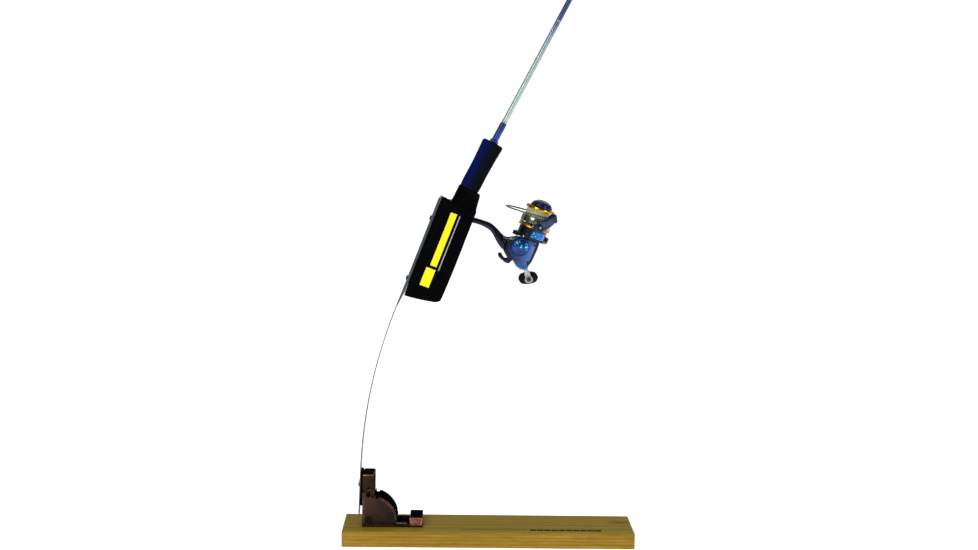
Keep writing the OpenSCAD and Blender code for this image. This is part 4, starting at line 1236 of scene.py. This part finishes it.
def make_reel_body():
    """The cast body: leg, gear case, neck, far boss and lever ears melted into one skin, then the foot on the
    grip as a piece of its own.
    """
    # stations along the leg: upper edge (t, w), lower edge (t, w), half width
    leg = [(-77.8, 12.2, -77.8, 5.4, 4.6), (-70, 13.0, -69.8, 6.4, 4.2), (-62, 13.7, -62, 7.2, 3.7),
        (-56, 13.8, -56.5, 7.1, 3.4), (-50.5, 13.8, -53, 6.6, 3.3), (-45.5, 12.7, -48.3, 5.6, 3.4),
        (-41.6, 11.0, -44.2, 3.6, 3.7), (-38, 9.3, -40.4, 0.5, 4.1), (-32, 6.2, -36, -3.7, 4.9),
        (-26, 4.8, -31.4, -7.4, 5.9), (-20, 6.2, -26.6, -10.3, 6.9), (-13, 8.4, -19, -13.2, 7.4)]
    rings = []
    for x0, z0, x1, z1, hy in between(leg, 3):
        cx, cz, hx, hz = (x0 + x1) / 2, (z0 + z1) / 2, (x0 - x1) / 2, (z0 - z1) / 2
        rings.append([(cx + hx * u, hy * v, cz + hz * u) for u, v in circle(28, 0.82)])
    parts = [loft(rings)]
    # gear case: a rounded slab that fills out to its middle
    outline = rounded([(-26, 2.6, 4), (-21, 6.8, 5), (-15.5, 9.6, 3), (-8, 10.9, 3), (12.2, 11.2, 1.5),
        (12.4, 3, 4), (11.2, -12, 8), (9.4, -18.6, 3), (-8.4, -19.2, 3), (-13, -17.6, 3), (-19, -16.2, 4),
        (-25.5, -10.4, 4)], 3, 4)
    cx, cz = -5.0, -3.5
    rings = []
    for y, cut in ((-9.3, 2.6), (-8.8, 1.5), (-7.6, 0.6), (-5.6, 0.1), (0, 0), (5.6, 0.1), (7.6, 0.6),
            (8.8, 1.5), (9.3, 2.6)):
        ring = []
        for x, z in outline:
            d = Vector((x - cx, z - cz))
            p = d - d.normalized() * cut
            ring.append((cx + p.x, y, cz + p.y))
        rings.append(ring)
    parts.append(loft(rings))
    # neck under the rotor
    parts.append(revolve([(0, 2), (9.6, 2), (9.9, 9.4), (9.2, 10.9), (0, 10.9)], 48))
    # far boss of the handle
    boss = revolve([(0, -9), (8.0, -9), (7.6, 9.5), (6.6, 12), (6.2, 16), (6.2, 29.2), (5.7, 29.9),
        (0, 29.9)], 48)
    parts.append(moved(boss, shift(HANDLE_X, 0, 0) @ about("X", -90)))
    # ears of the lever
    ears = [prism(rounded([(-18.6, -22.2, 2), (-13.6, -23.6, 2), (-9, -15, 1), (-16, -11.5, 1)], 2, 4), y,
        y + 2.0) for y in (-5.4, 3.4)]
    o = fuse("reel_body", parts + ears, REEL, 0.42, 5)
    own(o, "ink_blue", "holder", "reel_black", "reel_frame")
    # foot on the grip, under the rings
    rings = []
    for s, half, high in ((60.3, 13, 0.5), (64, 19, 0.8), (70, 23, 1.4), (76, 26, 2.4), (83, 27, 3.0),
            (90, 26, 2.4), (98, 23, 1.4), (106, 19, 0.8), (111.7, 13, 0.5)):
        ring = []
        for k in range(15):
            a = rad(-half + 2 * half * k / 14)
            r = 11.72 + high * max(0.0, cos(a * 90 / half)) ** 0.8 + 0.35
            ring.append((r * cos(a), r * sin(a), s))
        for k in range(15):
            a = rad(half - 2 * half * k / 14)
            ring.append((11.68 * cos(a), 11.68 * sin(a), s))
        rings.append(ring)
    piece("reel_foot", loft(rings), "ink_blue", "holder", "reel_black", at=ROD)


def crowned_plate(outline, y, rise, thick, crown):
    """A plate facing the viewer: rounded rim, face swelling by crown toward its middle."""
    cx = sum(p[0] for p in outline) / len(outline)
    cz = sum(p[1] for p in outline) / len(outline)
    rings = []

    def ring(scale, yy):
        return [(cx + (x - cx) * scale, yy, cz + (z - cz) * scale) for x, z in outline]

    rings.append(ring(0.97, y))
    rings.append(ring(1.0, y - 0.3))
    rings.append(ring(1.0, y - thick * 0.55))
    for k in range(1, 5):
        a = rad(90 * k / 4)
        rings.append(ring(1 - rise * (1 - cos(a)), y - thick * 0.55 - thick * 0.45 * sin(a)))
    s0, levels = 1 - rise, 9
    for k in range(1, levels):
        s = s0 * (1 - k / levels)
        rings.append(ring(s, y - thick - crown * (1 - (s / s0) ** 2)))
    verts, faces = loft(rings, caps=False)
    n = len(outline)
    faces.append(tuple(range(n)))
    tip = len(verts)
    verts.append((cx, y - thick - crown, cz))
    last = (len(rings) - 1) * n
    faces += [(last + k, last + (k + 1) % n, tip) for k in range(n)]
    return verts, faces


DOME = facing(REEL, HANDLE_X, 0, -12.4)


def make_reel_covers():
    outline = rounded([(-9.5, 10.6, 3), (8.3, 11.6, 1.2), (8.4, 4, 4), (7.3, -12.6, 5), (5.2, -18.6, 3),
        (-3.2, -18.2, 5), (-12.2, -14.4, 5), (-21.4, -7.4, 2.2), (-17.6, 2.6, 6)], 3, 6)
    piece("side_plate", crowned_plate(outline, -9.3, 0.07, 2.6, 0.8), "lavender", "holder", "reel_lavender",
        "side_cover", at=REEL)
    # shadow line and ring round the dome, then the dome
    ring = revolve([(8.9, -1.0), (10.3, -1.0), (10.3, 0.35), (9.9, 0.7), (9.3, 0.7), (8.9, 0.3)], 72, True)
    piece("dome_ring", ring, "dome", "holder", "reel_blue", at=DOME, sharp=50)
    prof = [(9.35, -1.2), (9.35, 0.1), (9.0, 0.75)]
    for k in range(1, 15):
        a = rad(16 + 74 * k / 14)
        prof.append((9.1 * cos(a) / cos(rad(16)), 0.75 + 2.1 * (sin(a) - sin(rad(16)))))
    prof[-1] = (0, prof[-1][1])
    piece("side_dome", revolve(prof, 72), "dome", "holder", "reel_blue", "side_cap", at=DOME)
    # small bright facets round the dome, coloured as painted turquoise glints
    petals = []
    for a0, r0, r1, wide in ((90, 0.6, 3.4, 0.8), (20, 4.6, 8.0, 1.3), (52, 5.4, 8.2, 0.55),
            (122, 5.2, 8.0, 0.6), (150, 4.8, 8.1, 1.1), (176, 6.6, 8.2, 0.5), (-4, 6.8, 8.3, 0.45),
            (0, -1.3, 1.5, 0.9)):
        top, low = [], []
        for x, y in ((r0, -wide * 0.3), (r0 + (r1 - r0) * 0.55, -wide), (r1, 0),
                (r0 + (r1 - r0) * 0.55, wide), (r0, wide * 0.3)):
            h = 0.75 + 2.1 * (sqrt(max(0, 1 - (hypot(x, y) / 9.47) ** 2)) - 0.2756)
            top.append((x, y, h + 0.12))
            low.append((x, y, h - 0.5))
        petals.append(moved(loft([low, top]), about("Z", a0)))
    piece("dome_facets", joined(*petals), "glint", "holder", "reel_blue", at=DOME, sharp=30)
    # the bright cap that wraps the lower end: a cup, so that the sliding shaft's end has room
    rings = [[(-0.9 + q * c, q * s, w) for c, s in circle(56)] for q, w in ((5.0, -18.4), (6.4, -18.2),
        (7.4, -15.6))]
    for k in range(13):
        a = rad(-4 + 94 * k / 12)
        w = -16.4 - 9.2 * sin(a) if a > 0 else -16.4 + 1.0
        sx, sy = 10.2 * cos(a) + 0.02, 10.4 * cos(a) + 0.02
        cx = -0.9 + 3.6 * sin(max(a, 0))
        rings.append([(cx + sx * c, sy * s, w) for c, s in circle(56, 0.85)])
    piece("tail_cap", loft(rings), "cap", "holder", "reel_blue", "rear_cap", at=REEL)
    lip = [(-0.9 + 10.3 * c, 10.5 * s, -15.9) for c, s in circle(56)]
    piece("tail_seam", sweep(lip, 0.5, 8, closed=True), "ink_blue", "holder", "reel_black", at=REEL,
        sharp=180)
    # bolster from the neck to the plate, painted a light grey as a highlight beside the rotor
    path = [(-31, -4.8, 3.6), (-25, -5.6, 3.6), (-20, -6.8, 5.4), (-15.5, -7.4, 8.2), (-11.5, -7.2, 10.0)]
    piece("neck_bolster", sweep(between(path, 4), [1.2 + 1.5 * sin(pi * k / 16) for k in range(17)], 16),
        "shoulder", "holder", "reel_black", at=REEL, sharp=180)


def make_lever():
    path = [(-12.6, 0, -21.2), (-15.8, 0, -21.3), (-18.6, 0, -21.0), (-21.4, 0, -20.4), (-24.0, 0, -19.2),
        (-26.2, 0, -17.4), (-27.0, 0, -15.2)]
    sizes = [2.0, 2.9, 2.5, 2.0, 2.3, 2.5, 1.9]
    smooth = between([(*p, s) for p, s in zip(path, sizes)], 4)
    bar = sweep([p[:3] for p in smooth], [p[3] for p in smooth], 18, 1.5, (0, 1, 0))
    pin = revolve([(0, -5.2), (0.9, -5.2), (0.9, 5.2), (0, 5.2)], 24)
    hub = revolve([(0, -3.0), (2.4, -3.0), (2.6, -2.7), (2.6, 2.7), (2.4, 3.0), (0, 3.0)], 36)
    at_pin = shift(-15.4, 0, -20.6) @ about("X", 90)
    piece("stop_lever", joined(bar, moved(hub, at_pin), moved(pin, at_pin)), "plastic", "lever",
        "black_plastic", "ar_lever", at=REEL)


# ---------------------------------------------------------------- handle
CK_X, CK_Z = 19.84, -37.94


def make_crank():
    """Chrome crank: a waisted arm with a groove along it, and a ringed eye."""
    length = hypot(CK_X - HANDLE_X, CK_Z)
    section = [(-1, 41.9), (-0.86, 41.55), (-0.45, 41.5), (-0.3, 41.85), (0.3, 41.85), (0.45, 41.5),
        (0.86, 41.55), (1, 41.9), (1, 44.5), (0.86, 44.95), (-0.86, 44.95), (-1, 44.5)]
    rings = []
    for k in range(25):
        t = k / 24
        half = 3.7 - 1.9 * sin(pi * min(1, t * 1.15)) ** 0.8 - 0.3 * t
        x = 1.5 + (length - 3) * t
        rings.append([(x, y, v * half) for v, y in section])
    at = shift(HANDLE_X, 0, 0) @ about("Y", degrees(atan2(-CK_Z, CK_X - HANDLE_X)))
    arm = moved(loft(rings), at)
    hub = revolve([(2.6, 41.4), (4.6, 41.4), (5.0, 41.8), (5.0, 44.7), (4.6, 45.1), (2.6, 45.1)], 48, True)
    eye = revolve([(1.95, 41.9), (2.6, 41.2), (4.5, 41.2), (5.05, 41.75), (5.05, 44.8), (4.6, 45.2),
        (1.95, 45.2)], 48, True)
    to_y = about("X", -90)
    piece("crank_chrome", joined(arm, moved(hub, shift(HANDLE_X, 0, 0) @ to_y),
        moved(eye, shift(CK_X, 0, CK_Z) @ to_y)), "chrome", "crank", "chrome", "crank_arm", at=REEL,
        sharp=42)
    # socket screw in the eye
    n = 48
    rings = [[(r * c, r * s, z) for c, s in circle(n)] for r, z in ((1.8, -0.6), (2.9, -0.6), (3.0, -0.3),
        (3.0, 0.35), (2.6, 0.6), (1.9, 0.6))]
    inner = []
    for k in range(n):
        a = 2 * pi * k / n
        seg = a % (pi / 3) - pi / 6
        r = 1.0 / cos(seg)
        inner.append((r * cos(a), r * sin(a), 0.6))
    rings.append(inner)
    rings.append([(x, y, -0.35) for x, y, _ in inner])
    piece("eye_screw", loft(rings), "guide", "crank", "dark_steel", at=facing(REEL, CK_X, CK_Z, 40.6),
        sharp=40)


def make_knob():
    """The paddle knob: an oval with broad flats and a rounded rim."""
    rings = []
    n = 72

    def ring(y, sx, sz):
        flats = [1 - 0.035 * (0.5 + 0.5 * cos(8 * 2 * pi * k / n + pi)) for k in range(n)]
        return [(c * sx * flat, y, s * sz * flat) for (c, s), flat in zip(circle(n, 0.86), flats)]

    for y, sx, sz in ((45.8, 3.6, 3.6), (45.8, 4.3, 4.3), (46.2, 4.4, 4.4), (49.0, 4.4, 4.4),
            (50.2, 5.4, 4.8), (50.6, 8.8, 5.8), (51.0, 10.6, 6.7), (51.8, 11.5, 7.2), (53.2, 11.9, 7.5),
            (57.0, 11.7, 7.2), (60.8, 11.9, 7.5), (62.8, 11.6, 7.2), (64.0, 10.8, 6.5), (64.7, 9.0, 5.3),
            (64.8, 5, 3.4)):
        rings.append(ring(y, sx, sz))
    piece("knob_paddle", loft(rings), "rubber", "knob", "black_rubber", "crank_knob",
        at=REEL @ shift(CK_X * MM, 0, CK_Z * MM) @ about("Y", -27), sharp=50)


make_reel_body()
make_reel_covers()
make_lever()
make_crank()
make_knob()
for kept in (("main_bearing", "steel"), ("handle_bearing", "steel"), ("cover_screws", "knob", 0.1),
        ("handle_shaft", "steel", 0.2), ("drive_gear", "brass", 0.1), ("crank_cap", "plastic", 0.3),
        ("knob_post", "dark", 0.2)):
    dress(*kept)

# ---------------------------------------------------------------- rotor and bail
PIV_W = 29.4
STAR_Y = 27.15


def make_rotor():
    """Rotor: rimmed flange, cup and two arms melted together."""
    parts = [revolve([(3.1, 11.3), (6, 11.3), (7, 12.0), (19.6, 12.0), (20.3, 12.6), (20.3, 14.8),
        (19.7, 15.4), (16.9, 15.7), (16.5, 16.4), (16.4, 26.9), (16.0, 27.4), (14.2, 27.4), (13.7, 26.9),
        (13.6, 16), (5, 15.6), (3.1, 15.6)], 96, True)]
    for e in (-1, 1):
        rings = [[(c * half, e * ((y0 + y1) / 2 + s * (y1 - y0) / 2), w) for c, s in circle(32, 0.5)]
            for w, half, y0, y1 in ((12.1, 7.6, 15.8, 20.6), (15, 7.4, 17.2, 21.4), (18.5, 7.0, 18.4, 21.9),
            (22, 6.5, 19.2, 22.4), (25.5, 6.25, 19.7, 23.3), (29.4, 6.2, 19.8, 23.5))]
        parts.append(loft(rings))
        head = revolve([(0, 19.8), (5.9, 19.8), (6.3, 20.3), (6.3, 23.1), (5.9, 23.55), (0, 23.55)], 48)
        parts.append(moved(head, shift(0, 0, PIV_W) @ about("X", 90 if e < 0 else -90)))
    o = fuse("rotor_cast", parts, ROTOR, 0.4, 3)
    own(o, "rotor", "rotor", "rotor_black", "rotor")


def shell_patch(r0, r1, w0, w1, a0, a1, taper, n=22, m=10):
    """A curved patch of shell round the spool's axis, narrowing upward by taper, with a rounded rim."""
    rings = []
    for i in range(m + 1):
        t = i / m
        w = w0 + (w1 - w0) * t
        mid, half = (a0 + a1) / 2, (a1 - a0) / 2 * (1 - taper * t ** 1.5)
        edge = 1.0 if 0 < i < m else 0.0
        ring = []
        for k in range(n + 1):
            q = k / n
            a = rad(mid - half + 2 * half * q)
            bulge = (sin(pi * q) ** 0.35) * (0.35 + 0.65 * edge)
            r = r0 + (r1 - r0) * bulge + 0.15
            ring.append((r * cos(a), r * sin(a), w))
        for k in range(n + 1):
            a = rad(mid + half - 2 * half * k / n)
            ring.append((r0 * cos(a), r0 * sin(a), w))
        rings.append(ring)
    return loft(rings)


def make_rotor_trim():
    for name, mid in (("arm_cover_near", -84), ("arm_cover_far", 96)):
        part = shell_patch(19.0, 23.5, 14.3, 24.2, mid - 28, mid + 26, 0.14)
        piece(name, part, "sky", "rotor", "reel_blue", *(["rotor_ring"] if mid < 0 else []), at=ROTOR)
        # small bright facets on each cover, coloured as painted glints
        facets = []
        for off, w, half, tall in ((-15, 20.6, 0.75, 1.5), (-9, 18.2, 1.1, 0.8), (-16.5, 16.6, 0.6, 1.1),
                (-3, 20.9, 0.5, 0.7)):
            kite = [(-tall, 0), (0, half), (tall, 0), (0, -half)]
            facet = loft([[(x, y, -0.9) for x, y in kite], [(x * 0.9, y * 0.9, 0.12) for x, y in kite]])
            facets.append(moved(facet, about("Z", mid + off) @ shift(23.62, 0, w) @ about("Y", 90)))
        piece(name + "_facets", joined(*facets), "glint", "rotor", "reel_blue", at=ROTOR, sharp=30)
    # balance weight and trip block on the flange
    weight = shell_patch(17.2, 21.9, 10.9, 16.4, 166, 199, 0.12, 18, 8)
    trip = shell_patch(17.2, 21.0, 12.0, 19.8, -19, 12, 0.2, 18, 8)
    piece("rotor_blocks", joined(weight, trip), "rotor", "rotor", "rotor_black", at=ROTOR)
    head = revolve([(0, -0.4), (1.35, -0.4), (1.35, 0.35), (1.05, 0.65), (0, 0.75)], 28)
    spots = [moved(head, about("Z", a) @ shift(r, 0, w) @ about("Y", 90))
        for a, w, r in ((232, 13.7, 20.35), (310, 13.7, 20.35), (52, 13.7, 20.35), (128, 13.7, 20.35))]
    piece("rotor_screws", joined(*spots), "steel", "rotor", "bright_steel", at=ROTOR, sharp=40)


def make_bail():
    """Near arm: a dished disc that runs into a bent arm and the roller's yoke."""
    disc = revolve([(1.7, 23.75), (5.7, 23.75), (6.15, 24.1), (6.2, 25.4), (5.9, 25.85), (5.3, 26.0),
        (4.7, 25.8), (4.3, 25.5), (1.7, 25.5)], 64, True)
    disc = moved(disc, shift(0, 0, PIV_W) @ about("X", 90))
    arm = crowned_plate(rounded([(-4.8, 33.8, 2), (1.4, 39.4, 4), (5.6, 45.8, 3), (8.4, 49.4, 1.6),
        (13.2, 49.6, 1.6), (15.8, 45.2, 2), (14.2, 38.0, 3), (9.6, 31.6, 3), (5.6, 26.6, 2)], 3, 6), -23.9,
        0.16, 1.6, 0.55)
    yoke = sweep([(14.6, -24.6, 42.2), (15.9, -23.8, 42.1), (16.4, -22.4, 42.0), (16.4, -19.4, 42.0)],
        [2.2, 2.5, 2.5, 2.0], 20, 0.5, (1, 0, 0))
    arm = joined(arm, yoke)
    stub = sweep([(16.6, -21, 42), (7.4, -21, 42)], 1.0, 16)
    nose = revolve([(0, 0), (1.6, 0.1), (2.3, 0.5), (2.4, 1.1), (2.1, 1.75), (1.2, 1.9), (0, 1.9)], 32)
    nose = moved(nose, shift(7.1, -21, 42) @ about("Y", 90))
    piece("bail_lever", joined(disc, arm, stub, nose), "bail_navy", "bail", "reel_lavender", "bail_arm",
        at=ROTOR, sharp=42)
    dish = revolve([(1.65, 25.3), (4.6, 25.5), (4.9, 25.75), (4.6, 25.95), (1.65, 25.7)], 64, True)
    piece("bail_dish", moved(dish, shift(0, 0, PIV_W) @ about("X", 90)), "knob", "bail", "reel_blue",
        at=ROTOR, sharp=50)
    # bare six-point stars on the pivot screws, on both sides
    for name, e in (("pivot_star_near", 1), ("pivot_star_far", -1)):
        n = 60
        star = [(1.35 + 0.6 * cos(6 * 2 * pi * k / n)) for k in range(n)]
        ang = [2 * pi * k / n for k in range(n)]
        rings = [[(s * k * cos(a), s * k * sin(a), z) for s, a in zip(star, ang)] for k, z in ((0.96, -0.3),
            (1.0, -0.2), (1.0, 0.3), (0.9, 0.45))]
        at = facing(ROTOR, 0, PIV_W, -e * STAR_Y, e * 90)
        piece(name, loft(rings), "steel", "rotor", "bright_steel", at=at, sharp=35)


def make_spool():
    """Skirt with ports and turned steps, arbor, gold lips and the laid line."""
    n = 120
    rows = [(18.2, 27.1), (18.2, 27.8), (18.2, 30.1), (18.2, 30.8), (18.2, 33.5), (18.2, 36.6),
        (17.9, 37.4), (17.2, 37.95)]
    verts = [(r * c, r * s, w) for r, w in rows for c, s in circle(n)]
    faces = []
    for i in range(len(rows) - 1):
        for k in range(n):
            if i == 1 and k % 10 < 6:
                continue
            j = (k + 1) % n
            faces.append((i * n + k, i * n + j, (i + 1) * n + j, (i + 1) * n + k))
    o = build("spool_skirt", verts, faces, REEL, sharp=40)
    wall = o.modifiers.new("wall", "SOLIDIFY")
    wall.thickness, wall.offset = 0.9 * MM, -1
    soften(o, 0.12, 2, 40, merge=False)
    own(o, "silver", "spool", "spool_silver", "spool")
    core = revolve([(1.6, 36.4), (17.3, 36.4), (17.6, 37.0), (17.3, 37.9), (12.2, 38.0), (11.5, 38.4),
        (11.5, 47.8), (9.5, 47.9), (9.5, 44.1), (1.6, 44.0)], 96, True)
    piece("spool_core", core, "silver", "spool", "spool_silver", at=REEL, sharp=40)
    front = revolve([(9.5, 47.3), (14.6, 47.0), (16.2, 46.3), (17.0, 46.4), (17.3, 46.9), (17.25, 48.9),
        (16.8, 49.7), (15.6, 50.0), (13.4, 49.9), (12.9, 49.4), (9.5, 49.3)], 120, True)
    rear = revolve([(17.1, 25.1), (18.5, 25.0), (18.9, 25.4), (18.9, 26.2), (18.6, 26.7), (18.25, 27.05),
        (17.1, 27.05)], 120, True)
    piece("spool_gold", joined(front, rear), "gold", "spool", "gold", "spool_lips", at=REEL, sharp=40)
    prof = [(11.6, 38.1)]
    lay = 27
    for k in range(lay * 4 + 1):
        w = 38.2 + 8.2 * k / (lay * 4)
        swell = 15.2 + 0.35 * sin(pi * k / (lay * 4))
        prof.append((swell + 0.11 * cos(2 * pi * k / 4), w))
    prof += [(11.6, 46.6)]
    piece("line_lay", revolve(prof, 96, True), "line", "spool", "line", "wound_line", at=REEL, sharp=180)


def make_drag_knob():
    """Drag knob: a dome with a milled rim, a raised grip bar and a sunk ring."""
    n = 144
    rings = []

    def ring(r, w, mill=0.0):
        radii = [r - mill * (0.5 + 0.5 * cos(24 * 2 * pi * k / n)) ** 2 for k in range(n)]
        return [(q * c, q * s, w) for q, (c, s) in zip(radii, circle(n))]

    for r, w, mill in ((7, 49.45, 0), (12.0, 50.05, 0), (12.7, 50.3, 0.03), (13.0, 50.8, 0.16),
            (12.9, 52.3, 0.16), (12.5, 52.9, 0.05), (12.2, 53.1, 0), (11.9, 53.0, 0), (11.6, 53.3, 0)):
        rings.append(ring(r, w, mill))
    for k in range(1, 15):
        a = rad(88 * k / 14)
        rings.append(ring(11.6 * cos(a), 53.3 + 5.0 * sin(a)))
    verts, faces = loft(rings, caps=False)
    size = len(rings)
    faces.append(tuple(range(n))[::-1])
    faces.append(tuple(range((size - 1) * n, size * n)))
    grip = []
    for k in range(17):
        t = -1 + 2 * k / 16
        x = 8.9 * t
        base = 53.3 + 5.0 * sqrt(max(0, 1 - (x / 11.2) ** 2))
        h = 0.75 * (1 - abs(t) ** 4) + 0.02
        w = 2.1 * (1 - 0.35 * t * t)
        grip.append([(x, -w, base - 0.9), (x, -w * 0.85, base + h * 0.5),
            (x, -w * 0.5, base + h * 0.5 + 0.02), (x, w * 0.5, base + h * 0.5 + 0.02),
            (x, w * 0.85, base + h * 0.5), (x, w, base - 0.9)])
    piece("drag_dome", joined((verts, faces), loft(grip)), "knob", "drag", "reel_blue", "drag_knob",
        at=REEL, sharp=40)


make_rotor()
make_rotor_trim()
make_bail()
make_spool()
make_drag_knob()
for kept in (("rotor_nut", "steel", 0.2), ("pinion", "brass", 0.1), ("bail_pivots", "plastic", 0.15),
        ("bail_wire", "wire"), ("bail_holder", "rotor", 0.35), ("line_roller", "gold", 0.15),
        ("main_shaft", "steel", 0.1), ("osc_slider", "brass", 0.2), ("drag_stack", "washer", 0.1)):
    dress(*kept)

# ---------------------------------------------------------------- floor and close
FLOOR = 9
me = bpy.data.meshes.new("floor")
me.from_pydata([(-FLOOR, -FLOOR, 0), (FLOOR, -FLOOR, 0), (FLOOR, FLOOR, 0), (-FLOOR, FLOOR, 0)], [],
    [(0, 1, 2, 3)])
floor = place("floor", me, WORLD)
paper = Finish("paper", (0.8, 0.8, 0.8), 0.95, Specular_IOR_Level=0.0)
paper.put("Base Color", paper.mix(paper.span(paper.noise(0.02, 2), 0.3, 0.7), (0.79, 0.79, 0.79),
    (0.81, 0.81, 0.81)))
paper.put("Emission Color", (1, 1, 1, 1))
paper.put("Emission Strength", 0.97)
me.materials.append(paper.mat)

bpy.context.view_layer.update()
